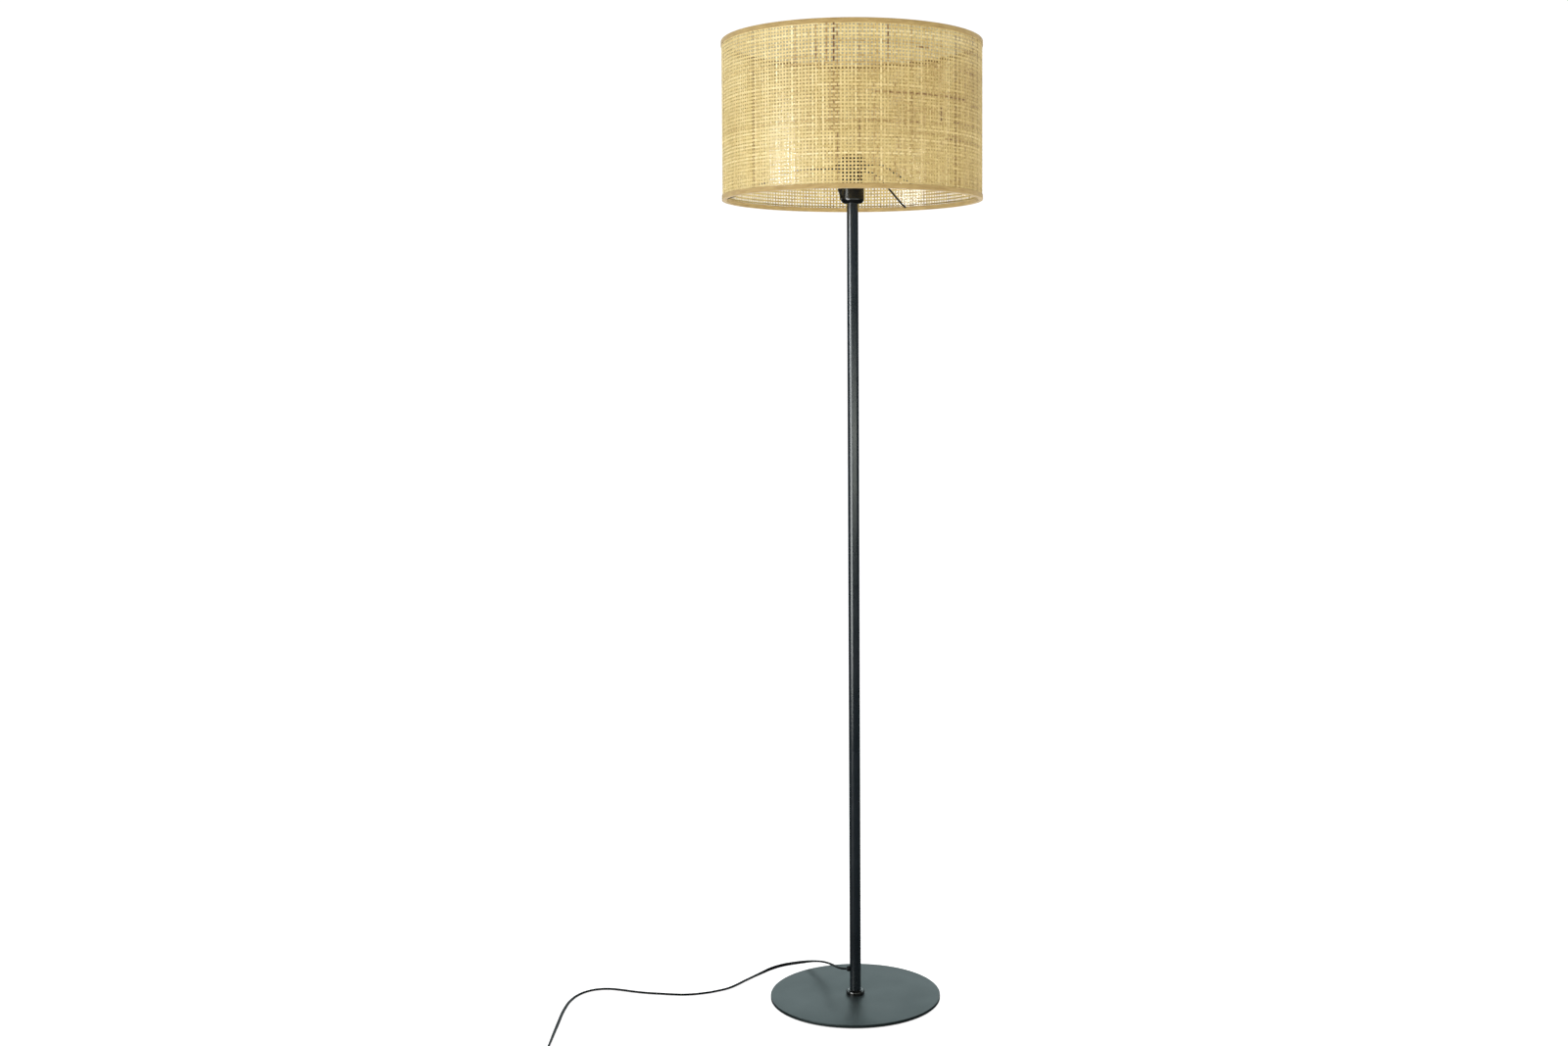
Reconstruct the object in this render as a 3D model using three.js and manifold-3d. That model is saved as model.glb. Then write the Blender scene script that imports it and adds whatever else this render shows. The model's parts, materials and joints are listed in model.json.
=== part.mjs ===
// Rattan floor lamp: a drum shade of open plain weave on a black holder and a
// slim black pole, over a round steel base, with a flat two-core lead.
// Millimetres, +Z up. The origin is on the floor, under the middle of the base.

import * as THREE from "three";
import { mergeVertices, toCreasedNormals } from "three/addons/utils/BufferGeometryUtils.js";
import Module from "manifold-3d";

const wasm = await Module();
wasm.setup();

// Driving dimensions
const lampHeight = 1485;
const shadeDiameter = 400;
const shadeHeight = 240;
const baseDiameter = 266;
const tubeDiameter = 17.5;
const tubeWall = 1.2;
const clearance = 0.3;
const overrun = 2;

// Base
const padHeight = 1.2;
const padDiameter = 20;
const padCircleDiameter = 224;
const plateThickness = 4.8;
const plateEdgeRound = 1.2;
const collarDiameter = 29;
const collarHeight = 7;
const collarRound = 2.4;
const screwDiameter = 8;
const screwHeadDiameter = 15;
const screwHeadHeight = 3.4;
const screwLength = 24;
const screwSocketWidth = 5;
const screwSocketDepth = 2.6;
const insertLength = 24;

// Pole
const couplerLength = 44;
const couplerWall = 2.25;
const topInsertLength = 16;
const topInsertWall = 1.45;
const nippleWall = 1.5;
const nippleReach = 10;
const nippleDepth = 14;
const locknutWall = 2.2;
const locknutHeight = 4;

// Lampholder, from the screw shell outwards
const shellDiameter = 27.2;
const shellWall = 0.4;
const shellWave = 0.35;
const shellPitch = 3.63;
const shellTurns = 6;
const shellFlangeWidth = 4.5;
const coreWall = 1;
const coreHeight = 35;
const coreFloor = 4;
const coreInset = 17;
const capWall = 2.55;
const capHeight = 48;
const capFloor = 3;
const capRound = 6.5;
const capDrop = 4;
const spigotWall = 2;
const spigotHeight = 8;
const skirtWall = 1.7;
const skirtHeight = 25;
const skirtFlangeWidth = 3.8;
const skirtFlangeHeight = 3;
const threadDepth = 0.8;
const threadPitch = 2.6;
const threadTurns = 6;
const lipHeight = 3;
const lipWall = 2.2;
const contactRivetDiameter = 3.4;
const contactButtonDiameter = 9;
const contactButtonHeight = 1.6;
const contactHeadHeight = 1;
const terminalSize = 5;
const terminalSpacing = 16;
const terminalHeight = 6;
const terminalRound = 0.6;

// Rocker switch in the side of the holder
const rockerWidth = 10;
const rockerReach = 10.1;
const rockerFront = 6.6;
const rockerSaddle = 4.6;
const rockerBack = 3;
const rockerPinDiameter = 2;
const rockerPinCover = 2;
const rockerPivotDepth = 3.25;
const rockerPivotRise = 15;
const rockerTilt = 14;
const leafThickness = 0.5;
const leafWidth = 5;
const leafHeight = 18;

// Shade
const tapeHeight = 7;
const tapeLipHeight = 3.4;
const tapeThickness = 0.5;
const weaveThickness = 1.2;
const filmThickness = 0.4;
const seamWidth = 14;
const seamThickness = 0.3;
const seamBearing = 62.3;
const ringWireDiameter = 2.8;
const armWireDiameter = 3;
const hubSlack = 0.7;
const armBendRadius = 83;
const armBendRound = 9;
const armFootLength = 4;
const armBearings = [178, 63.5, -62];
const nutDiameter = 52;
const nutHeight = 7;
const nutFlutes = 24;
const nutFluteDepth = 1.2;

// Lead, flat with two cores
const leadWidth = 4.9;
const leadThickness = 3;
const leadExitHeight = 45;
const grommetReach = 4.5;
const grommetWall = 0.7;
const grommetFlangeWidth = 0.9;
const grommetFlangeLength = 2.1;
const innerLeadDiameter = 4.6;
const innerLeadRise = 34;
const wireDiameter = 2;

// Coil, tie and plug
const coilMiddleDiameter = 58;
const coilTurnGap = 0.6;
const coilTurns = 5.25;
const coilCentreX = -414;
const coilCentreY = -265;
const tieThickness = 0.7;
const tieWidth = 6;
const tieSlack = 0.8;
const plugWidth = 35;
const plugThickness = 13.7;
const plugLength = 36;
const plugTailWidth = 13;
const plugShoulder = 13;
const plugChamfer = 2.6;
const plugReliefLength = 22;
const plugReliefRibs = 3;
const plugReliefTip = 6.4;
const plugReliefRoot = 9.6;
const plugPinDiameter = 4;
const plugPinLength = 19;
const plugPinSpacing = 18.6;
const plugTail = 26;

// Counts and angles, which no size sets
const bigRound = 60;
const midRound = 32;
const shellRound = 24;
const smallRound = 16;
const wireSides = 6;
const armSteps = 18;
const wireSteps = 12;
const leadSides = 8;
const leadSteps = 80;
const loopSteps = 24;
const loopSides = 6;
const tailSteps = 4;
const roundSteps = 3;
const padCount = 4;
const sectionCount = 3;
const hexSides = 6;
const rockerSteps = 6;
const creaseAngle = THREE.MathUtils.degToRad(32);
const fullTurn = 2 * Math.PI;
const weldDistance = 1e-4;
const upward = new THREE.Vector3(0, 0, 1);

// Where along the lead it rolls on edge, and the turns in which the coil climbs and dips
const rollStartShare = 0.86;
const rollEndShare = 0.98;
const climbTurns = 0.25;
const dipTurns = 0.5;
const tieTurnShare = 1 / 8;

// Heights that everything above the base is built on
const plateTop = padHeight + plateThickness;
const shadeBottom = lampHeight - shadeHeight;
const capBottom = shadeBottom - capDrop;
const capTop = capBottom + capHeight;
const tubeOuter = tubeDiameter / 2;
const tubeInner = tubeOuter - tubeWall;
const shadeRadius = shadeDiameter / 2;
const poleLength = capBottom - plateTop;
const sectionLength = poleLength / sectionCount;

// Radii of the pole's and the holder's pieces, each from what it fits in or over
const nippleOuter = tubeInner - clearance * 2 - topInsertWall;
const shellOuter = shellDiameter / 2;
const coreInner = shellOuter + clearance;
const coreOuter = coreInner + coreWall;
const capInner = coreOuter + clearance;
const capOuter = capInner + capWall;
const spigotOuter = capInner + spigotWall;
const skirtBore = spigotOuter + clearance;
const threadRoot = skirtBore + skirtWall;
const threadCrest = threadRoot + threadDepth;
const rockerPivotRadius = capOuter - rockerPivotDepth;
const rockerPinHalf = Math.sqrt(capOuter ** 2 - rockerPivotRadius ** 2) - rockerPinCover;
const hubInner = threadCrest + hubSlack;
const grommetBore = innerLeadDiameter / 2 + clearance;
const grommetNeck = grommetBore + grommetWall;
const grommetSeat = tubeOuter + clearance;
const grommetTip = grommetSeat + grommetReach;

// Radii of the shade's layers, from the outside in
const tapeInner = shadeRadius - tapeThickness;
const weaveOuter = tapeInner - clearance;
const weaveInner = weaveOuter - weaveThickness;
const filmOuter = weaveInner - clearance;
const filmInner = filmOuter - filmThickness;
const ringWireRadius = filmInner - clearance - ringWireDiameter / 2;
const lipOuter = ringWireRadius - ringWireDiameter / 2 - clearance;
const layerInset = tapeThickness + clearance;

// Heights and radii of the coil's middle line
const coilLift = tieThickness + clearance + leadWidth / 2;
const coilPitch = leadThickness + coilTurnGap;
const coilLayer = leadWidth + coilTurnGap;
const coilStartRadius = coilMiddleDiameter / 2 + (coilPitch * coilTurns) / 4;

const finishes = {
  blackSatin: { color: 0x24282a, roughness: 0.42, metalness: 0.25 },
  blackGloss: { color: 0x0b0b0d, roughness: 0.16, metalness: 0 },
  blackRubber: { color: 0x151515, roughness: 0.75, metalness: 0 },
  blackLead: { color: 0x0c0c0e, roughness: 0.45, metalness: 0 },
  felt: { color: 0x2c2c2c, roughness: 0.95, metalness: 0 },
  zinc: { color: 0xb4b8ba, roughness: 0.35, metalness: 0.9 },
  brass: { color: 0xc9a24d, roughness: 0.3, metalness: 0.95 },
  insulator: { color: 0x1a1512, roughness: 0.4, metalness: 0 },
  liveWire: { color: 0x6b3a1e, roughness: 0.5, metalness: 0 },
  neutralWire: { color: 0x2b56a0, roughness: 0.5, metalness: 0 },
  straw: { color: 0xdcc690, roughness: 0.7, metalness: 0 },
  tape: { color: 0xc4a466, roughness: 0.65, metalness: 0 },
  film: { color: 0xf2efe4, roughness: 0.12, metalness: 0, transparent: true, opacity: 0.25 },
};

// A closed mesh with merged vertices, no empty faces, and its faces pointing out.
function closed(geometry) {
  const bare = geometry.clone();
  bare.deleteAttribute("normal");
  bare.deleteAttribute("uv");
  const welded = mergeVertices(bare, weldDistance);
  const place = welded.attributes.position;
  const faces = welded.index.array;
  const kept = [];
  const corners = [new THREE.Vector3(), new THREE.Vector3(), new THREE.Vector3()];
  let volume = 0;
  for (let face = 0; face < faces.length; face += 3) {
    const [a, b, c] = faces.slice(face, face + 3);
    if (a === b || b === c || c === a) continue;
    kept.push([a, b, c]);
    [a, b, c].forEach((vertex, corner) => corners[corner].fromBufferAttribute(place, vertex));
    volume += corners[0].dot(corners[1].clone().cross(corners[2]));
  }
  const outward = volume < 0 ? kept.map(([a, b, c]) => [a, c, b]) : kept;
  welded.setIndex(outward.flat());
  return welded;
}

function asSolid(geometry) {
  const shape = closed(geometry);
  return new wasm.Manifold(new wasm.Mesh({
    numProp: 3,
    vertProperties: new Float32Array(shape.attributes.position.array),
    triVerts: new Uint32Array(shape.index.array),
  }));
}

function asGeometry(solid) {
  const mesh = solid.getMesh();
  const geometry = new THREE.BufferGeometry();
  geometry.setAttribute("position", new THREE.BufferAttribute(mesh.vertProperties, 3));
  geometry.setIndex(new THREE.BufferAttribute(mesh.triVerts, 1));
  return geometry;
}

function cut(body, ...tools) {
  let solid = asSolid(body);
  for (const tool of tools) solid = solid.subtract(asSolid(tool));
  return asGeometry(solid);
}

function piece(name, geometry, finish) {
  const mesh = new THREE.Mesh(
    toCreasedNormals(closed(geometry), creaseAngle),
    new THREE.MeshStandardMaterial(finishes[finish]),
  );
  mesh.name = name;
  return mesh;
}

// A solid of revolution about Z. The outline is a list of [radius, height].
function turned(outline, segments) {
  const points = outline.map(([radius, height]) => new THREE.Vector2(radius, height));
  return new THREE.LatheGeometry(points, segments).rotateX(Math.PI / 2);
}

function sleeve(inner, outer, bottom, top, segments) {
  return turned([[inner, bottom], [outer, bottom], [outer, top], [inner, top], [inner, bottom]], segments);
}

// A quarter circle of outline points, from one bearing to the next, in degrees.
function corner(radius, height, round, from, to) {
  const points = [];
  for (let step = 0; step <= roundSteps; step += 1) {
    const angle = THREE.MathUtils.degToRad(from + ((to - from) * step) / roundSteps);
    points.push([radius + round * Math.cos(angle), height + round * Math.sin(angle)]);
  }
  return points;
}

function ovalSection(width, height, sides) {
  const points = [];
  for (let side = 0; side < sides; side += 1) {
    const angle = (fullTurn * (side + 0.5)) / sides;
    points.push(new THREE.Vector2((width / 2) * Math.cos(angle), (height / 2) * Math.sin(angle)));
  }
  return new THREE.Shape(points);
}

function tubeAlong(path, section, steps) {
  return new THREE.ExtrudeGeometry(section, { steps, extrudePath: path });
}

// Base: a steel disc on four pads, the screw that holds the pole, and its collar
function basePlate() {
  const radius = baseDiameter / 2;
  const screwHole = screwDiameter / 2 + clearance;
  const headHole = screwHeadDiameter / 2 + clearance;
  const headSeat = screwHeadHeight + clearance;
  return turned([
    [headHole, 0],
    [radius - plateEdgeRound / 2, 0],
    [radius, plateEdgeRound / 2],
    ...corner(radius - plateEdgeRound, plateThickness - plateEdgeRound, plateEdgeRound, 0, 90),
    [screwHole, plateThickness],
    [screwHole, headSeat],
    [headHole, 0],
  ], bigRound);
}

function footPads() {
  const pads = [];
  const radius = padDiameter / 2;
  const reach = padCircleDiameter / 2;
  for (let pad = 0; pad < padCount; pad += 1) {
    const disc = new THREE.CylinderGeometry(radius, radius, padHeight, smallRound);
    const mesh = piece(`foot_pad_${pad + 1}`, disc.rotateX(Math.PI / 2), "felt");
    const bearing = (fullTurn * (pad + 0.5)) / padCount;
    mesh.position.set(reach * Math.cos(bearing), reach * Math.sin(bearing), padHeight / 2);
    pads.push(mesh);
  }
  return pads;
}

function baseScrew() {
  const shank = screwDiameter / 2;
  const head = screwHeadDiameter / 2;
  const body = turned([
    [0, 0], [head, 0], [shank, screwHeadHeight], [shank, screwLength], [0, screwLength],
  ], smallRound);
  const socketRadius = screwSocketWidth / 2 / Math.cos(Math.PI / hexSides);
  const socket = new THREE.CylinderGeometry(socketRadius, socketRadius, screwSocketDepth * 2, hexSides);
  return cut(body, socket.rotateX(Math.PI / 2));
}

function baseCollar() {
  const outer = collarDiameter / 2;
  const bore = tubeOuter + clearance;
  return turned([
    [bore, 0],
    [outer, 0],
    ...corner(outer - collarRound, collarHeight - collarRound, collarRound, 0, 90),
    [bore, collarHeight],
    [bore, 0],
  ], midRound);
}

function base() {
  const group = new THREE.Group();
  const plate = piece("base_plate", basePlate(), "blackSatin");
  plate.position.z = padHeight;
  const screw = piece("base_screw", baseScrew(), "zinc");
  screw.position.z = padHeight;
  const collar = piece("base_collar", baseCollar(), "blackGloss");
  collar.position.z = plateTop;
  const insert = piece("tube_insert",
    sleeve(screwDiameter / 2 + clearance, tubeInner - clearance, 0, insertLength, smallRound), "zinc");
  insert.position.z = plateTop;
  group.add(plate, ...footPads(), screw, collar, insert);
  return group;
}

// Pole: three tube sections butted flush over hidden couplers
function tubeSection(length) {
  return sleeve(tubeInner, tubeOuter, 0, length, midRound);
}

function lowerTube() {
  const radius = grommetNeck + clearance;
  const hole = new THREE.CylinderGeometry(radius, radius, tubeOuter + overrun, smallRound);
  hole.rotateZ(Math.PI / 2);
  hole.translate(-(tubeOuter + overrun) / 2, 0, leadExitHeight - plateTop);
  return cut(tubeSection(sectionLength), hole);
}

function pole() {
  const group = new THREE.Group();
  group.position.z = plateTop;
  const sections = [
    piece("tube_lower", lowerTube(), "blackSatin"),
    piece("tube_middle", tubeSection(sectionLength), "blackSatin"),
    piece("tube_upper", tubeSection(sectionLength), "blackSatin"),
  ];
  sections.forEach((section, place) => {
    section.position.z = place * sectionLength;
  });
  const outer = tubeInner - clearance;
  ["coupler_lower", "coupler_upper"].forEach((name, place) => {
    const coupler = piece(name,
      sleeve(outer - couplerWall, outer, -couplerLength / 2, couplerLength / 2, smallRound), "zinc");
    coupler.position.z = (place + 1) * sectionLength;
    group.add(coupler);
  });
  const topInsert = piece("tube_top_insert",
    sleeve(nippleOuter + clearance, outer, -topInsertLength, 0, smallRound), "zinc");
  topInsert.position.z = poleLength;
  group.add(...sections, topInsert);
  return group;
}

// Rubber bush in the tube wall, turned about X, with its flange outside
function cordGrommet() {
  const flange = grommetNeck + grommetFlangeWidth;
  const geometry = turned([
    [grommetBore, tubeInner],
    [grommetNeck, tubeInner],
    [grommetNeck, grommetSeat],
    [flange, grommetSeat],
    [flange, grommetSeat + grommetFlangeLength],
    [grommetNeck, grommetTip],
    [grommetBore, grommetTip],
    [grommetBore, tubeInner],
  ], smallRound);
  return geometry.rotateY(-Math.PI / 2);
}

// Holder: cap, skirt, core, screw shell and contacts, about the lamp's axis
function holderCap() {
  const hole = nippleOuter + clearance;
  const body = turned([
    [hole, 0],
    ...corner(capOuter - capRound, capRound, capRound, -90, 0),
    [capOuter, capHeight],
    [spigotOuter, capHeight],
    [spigotOuter, capHeight + spigotHeight],
    [capInner, capHeight + spigotHeight],
    [capInner, capFloor],
    [hole, capFloor],
    [hole, 0],
  ], midRound);
  const windowDepth = 2 * (rockerPivotDepth + rockerBack);
  const windowHeight = 2 * (rockerReach + clearance);
  const window = new THREE.BoxGeometry(windowDepth, rockerWidth + clearance * 2, windowHeight);
  window.translate(-capOuter, 0, rockerPivotRise);
  const pinRadius = rockerPinDiameter / 2 + clearance;
  const pinReach = rockerPinHalf + clearance;
  const pinHole = new THREE.CylinderGeometry(pinRadius, pinRadius, pinReach * 2, smallRound);
  pinHole.translate(-rockerPivotRadius, 0, rockerPivotRise);
  return cut(body, window, pinHole);
}

function holderSkirt() {
  const threadBottom = skirtFlangeHeight + threadPitch / 2;
  const threadTop = threadBottom + threadTurns * threadPitch;
  const threads = [];
  for (let turn = 0; turn < threadTurns; turn += 1) {
    const height = threadBottom + turn * threadPitch;
    threads.push([threadRoot, height], [threadCrest, height + threadPitch / 2]);
  }
  const lipInner = coreInner + clearance;
  const lipOuter = lipInner + lipWall;
  return turned([
    [skirtBore, 0],
    [threadRoot + skirtFlangeWidth, 0],
    [threadRoot + skirtFlangeWidth, skirtFlangeHeight],
    [threadRoot, skirtFlangeHeight],
    ...threads,
    [threadRoot, threadTop],
    [lipOuter, skirtHeight - lipHeight / 2],
    [lipOuter, skirtHeight],
    [lipInner, skirtHeight],
    [lipInner, skirtHeight - lipHeight],
    [skirtBore, skirtHeight - lipHeight],
    [skirtBore, 0],
  ], midRound);
}

function holderCore() {
  const bore = contactRivetDiameter / 2 + clearance;
  return turned([
    [bore, 0],
    [coreOuter, 0],
    [coreOuter, coreHeight],
    [coreInner, coreHeight],
    [coreInner, coreFloor],
    [bore, coreFloor],
    [bore, 0],
  ], midRound);
}

function screwShell() {
  const middle = shellOuter - shellWave;
  const outside = [];
  const inside = [];
  for (let half = 0; half <= shellTurns * 2; half += 1) {
    const wave = half % 2 ? shellWave : -shellWave;
    const height = shellWall * 2 + (half * shellPitch) / 2;
    outside.push([middle + wave, height]);
    inside.unshift([middle + wave - shellWall, height]);
  }
  const flangeBore = middle - shellFlangeWidth;
  return turned([
    [flangeBore, 0],
    [middle, 0],
    ...outside,
    ...inside,
    [middle - shellWall * 2, shellWall],
    [flangeBore, shellWall],
    [flangeBore, 0],
  ], shellRound);
}

function centreContact() {
  const rivet = contactRivetDiameter / 2;
  const button = contactButtonDiameter / 2;
  const head = rivet * 2;
  const seat = coreFloor + clearance;
  return turned([
    [0, -clearance - contactHeadHeight],
    [head, -clearance - contactHeadHeight],
    [head, -clearance],
    [rivet, -clearance],
    [rivet, seat],
    [button, seat],
    [button, seat + contactButtonHeight / 2],
    [rivet, seat + contactButtonHeight],
    [0, seat + contactButtonHeight],
  ], smallRound);
}

function terminalBlock() {
  const half = terminalSize / 2 - terminalRound;
  const outline = new THREE.Shape([
    new THREE.Vector2(-half, -half), new THREE.Vector2(half, -half),
    new THREE.Vector2(half, half), new THREE.Vector2(-half, half),
  ]);
  return new THREE.ExtrudeGeometry(outline, {
    depth: terminalHeight - terminalRound * 2,
    bevelThickness: terminalRound,
    bevelSize: terminalRound,
    bevelSegments: 1,
  });
}

function holderNipple() {
  return sleeve(nippleOuter - nippleWall, nippleOuter, -nippleDepth, nippleReach, smallRound);
}

function locknut() {
  const bore = nippleOuter + clearance;
  const radius = (bore + locknutWall) / Math.cos(Math.PI / hexSides);
  const hex = new THREE.CylinderGeometry(radius, radius, locknutHeight, hexSides).rotateX(Math.PI / 2);
  const hole = new THREE.CylinderGeometry(bore, bore, locknutHeight + overrun, smallRound);
  return cut(hex, hole.rotateX(Math.PI / 2));
}

// The leaf stands just clear of the rocker's back corner at either end of its throw
function contactLeaf() {
  const tilt = THREE.MathUtils.degToRad(rockerTilt);
  const backReach = rockerBack * Math.cos(tilt) + rockerReachAt(rockerBack) * Math.sin(tilt);
  const face = rockerPivotRadius - backReach - clearance;
  const leaf = new THREE.BoxGeometry(leafThickness, leafWidth, leafHeight);
  leaf.translate(leafThickness / 2 - face, 0, capFloor + clearance + leafHeight / 2);
  return leaf;
}

function holder() {
  const group = new THREE.Group();
  group.position.z = capBottom;
  const core = capHeight - coreInset;
  const placed = [
    [piece("holder_cap", holderCap(), "blackGloss"), 0],
    [piece("holder_nipple", holderNipple(), "zinc"), 0],
    [piece("nipple_locknut", locknut(), "zinc"), capFloor + clearance + locknutHeight / 2],
    [piece("holder_skirt", holderSkirt(), "blackGloss"), capHeight + clearance],
    [piece("holder_core", holderCore(), "insulator"), core],
    [piece("screw_shell", screwShell(), "brass"), core + coreFloor + clearance],
    [piece("centre_contact", centreContact(), "brass"), core],
    [piece("switch_contact", contactLeaf(), "brass"), 0],
  ];
  for (const [mesh, height] of placed) {
    mesh.position.z = height;
    group.add(mesh);
  }
  ["terminal_live", "terminal_neutral"].forEach((name, side) => {
    const terminal = piece(name, terminalBlock(), "brass");
    const across = side ? terminalSpacing / 2 : -terminalSpacing / 2;
    terminal.position.set(0, across, core - clearance - terminalHeight + terminalRound);
    group.add(terminal);
  });
  const pinRadius = rockerPinDiameter / 2;
  const pin = piece("rocker_pin",
    new THREE.CylinderGeometry(pinRadius, pinRadius, rockerPinHalf * 2, smallRound), "zinc");
  pin.position.set(-rockerPivotRadius, 0, rockerPivotRise);
  group.add(pin);
  return group;
}

// Half height of the rocker at a depth before or behind its pivot
function rockerReachAt(depth) {
  return Math.sqrt(rockerReach ** 2 - depth ** 2);
}

// The rocker's side outline is drawn with X out of the holder and Y up
function rocker() {
  const front = rockerReachAt(rockerFront);
  const back = rockerReachAt(rockerBack);
  const frontTop = Math.atan2(front, rockerFront);
  const backTop = Math.atan2(back, -rockerBack);
  const outline = new THREE.Shape();
  outline.moveTo(-rockerBack, -back);
  outline.absarc(0, 0, rockerReach, -backTop, -frontTop, false);
  outline.quadraticCurveTo(rockerSaddle, 0, rockerFront, front);
  outline.absarc(0, 0, rockerReach, frontTop, backTop, false);
  outline.lineTo(-rockerBack, -back);
  const bore = new THREE.Path();
  bore.absarc(0, 0, rockerPinDiameter / 2 + clearance, 0, fullTurn, true);
  outline.holes.push(bore);
  const geometry = new THREE.ExtrudeGeometry(outline, {
    depth: rockerWidth, bevelEnabled: false, curveSegments: rockerSteps,
  });
  geometry.translate(0, 0, -rockerWidth / 2);
  geometry.rotateX(Math.PI / 2);
  geometry.rotateZ(Math.PI);
  const mesh = piece("rocker", geometry, "blackGloss");
  mesh.position.set(-rockerPivotRadius, 0, capBottom + rockerPivotRise);
  mesh.rotation.y = -THREE.MathUtils.degToRad(rockerTilt);
  return mesh;
}

// The retaining nut has plain flutes for a finger grip
function shadeNut() {
  const outline = new THREE.Shape();
  for (let point = 0; point < nutFlutes * 4; point += 1) {
    const angle = (fullTurn * point) / (nutFlutes * 4);
    const radius = nutDiameter / 2 - (point % 4 < 2 ? 0 : nutFluteDepth);
    if (point === 0) outline.moveTo(radius, 0);
    else outline.lineTo(radius * Math.cos(angle), radius * Math.sin(angle));
  }
  const bore = new THREE.Path();
  bore.absarc(0, 0, threadCrest + clearance, 0, fullTurn, true);
  outline.holes.push(bore);
  const geometry = new THREE.ExtrudeGeometry(outline, {
    depth: nutHeight, bevelEnabled: false, curveSegments: midRound / 2,
  });
  const mesh = piece("shade_ring", geometry, "blackGloss");
  mesh.position.z = hubHeight() + armWireDiameter / 2 + clearance;
  return mesh;
}

// Height of the hub's wire, which rests on the skirt's flange
function hubHeight() {
  return capTop + clearance + skirtFlangeHeight + clearance + armWireDiameter / 2;
}

// Shade: folded edge tapes over the weave, a clear film behind it, and a wire frame
function edgeTape() {
  return turned([
    [lipOuter - tapeThickness, 0],
    [shadeRadius, 0],
    [shadeRadius, tapeHeight],
    [tapeInner, tapeHeight],
    [tapeInner, tapeThickness],
    [lipOuter, tapeThickness],
    [lipOuter, tapeLipHeight],
    [lipOuter - tapeThickness, tapeLipHeight],
    [lipOuter - tapeThickness, 0],
  ], bigRound);
}

function filmSeam() {
  const outer = filmInner * Math.cos(Math.PI / bigRound) - clearance;
  const inner = outer - seamThickness;
  const half = seamWidth / 2 / filmInner;
  const middle = THREE.MathUtils.degToRad(seamBearing);
  const outline = new THREE.Shape();
  outline.absarc(0, 0, outer, middle - half, middle + half, false);
  outline.absarc(0, 0, inner, middle + half, middle - half, true);
  const bottom = 2 * layerInset + ringWireDiameter;
  return new THREE.ExtrudeGeometry(outline, {
    depth: shadeHeight - 2 * bottom, bevelEnabled: false, curveSegments: roundSteps,
  }).translate(0, 0, bottom);
}

function ringWire() {
  return new THREE.TorusGeometry(ringWireRadius, ringWireDiameter / 2, wireSides, bigRound);
}

// An arm leaves the hub level, bends down, and ends level on the bottom ring
function hubArm() {
  const start = hubInner + armWireDiameter + clearance;
  const level = hubHeight() - shadeBottom;
  const foot = layerInset + ringWireDiameter + clearance + armWireDiameter / 2;
  const bend = (radius, height) => new THREE.Vector3(radius, 0, height);
  const heel = ringWireRadius - armFootLength;
  const slope = new THREE.Vector2(heel - armBendRadius, foot - level).normalize();
  const bendIn = bend(armBendRadius - armBendRound, level);
  const bendOut = bend(armBendRadius + slope.x * armBendRound, level + slope.y * armBendRound);
  const heelIn = bend(heel - slope.x * armBendRound, foot - slope.y * armBendRound);
  const heelOut = bend(heel + armFootLength / 2, foot);
  const path = new THREE.CurvePath();
  path.add(new THREE.LineCurve3(bend(start, level), bendIn));
  path.add(new THREE.QuadraticBezierCurve3(bendIn, bend(armBendRadius, level), bendOut));
  path.add(new THREE.LineCurve3(bendOut, heelIn));
  path.add(new THREE.QuadraticBezierCurve3(heelIn, bend(heel, foot), heelOut));
  path.add(new THREE.LineCurve3(heelOut, bend(ringWireRadius, foot)));
  return tubeAlong(path, ovalSection(armWireDiameter, armWireDiameter, wireSides), armSteps);
}

function shade() {
  const group = new THREE.Group();
  group.position.z = shadeBottom;
  const weave = sleeve(weaveInner, weaveOuter, layerInset, shadeHeight - layerInset, bigRound);
  const film = sleeve(filmInner, filmOuter, layerInset, shadeHeight - layerInset, bigRound);
  const topTape = piece("top_tape", edgeTape(), "tape");
  topTape.rotation.x = Math.PI;
  topTape.position.z = shadeHeight;
  const bottomWire = piece("bottom_wire", ringWire(), "blackSatin");
  bottomWire.position.z = layerInset + ringWireDiameter / 2;
  const topWire = piece("top_wire", ringWire(), "blackSatin");
  topWire.position.z = shadeHeight - layerInset - ringWireDiameter / 2;
  const hubRadius = hubInner + armWireDiameter / 2;
  const hub = piece("hub_ring",
    new THREE.TorusGeometry(hubRadius, armWireDiameter / 2, wireSides, midRound), "blackSatin");
  hub.position.z = hubHeight() - shadeBottom;
  group.add(
    piece("shade_weave", weave, "straw"),
    piece("shade_film", film, "film"),
    piece("film_seam", filmSeam(), "film"),
    piece("bottom_tape", edgeTape(), "tape"),
    topTape, bottomWire, topWire, hub,
  );
  armBearings.forEach((bearing, place) => {
    const arm = piece(`hub_arm_${place + 1}`, hubArm(), "blackSatin");
    arm.rotation.z = THREE.MathUtils.degToRad(bearing);
    group.add(arm);
  });
  return group;
}

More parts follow.
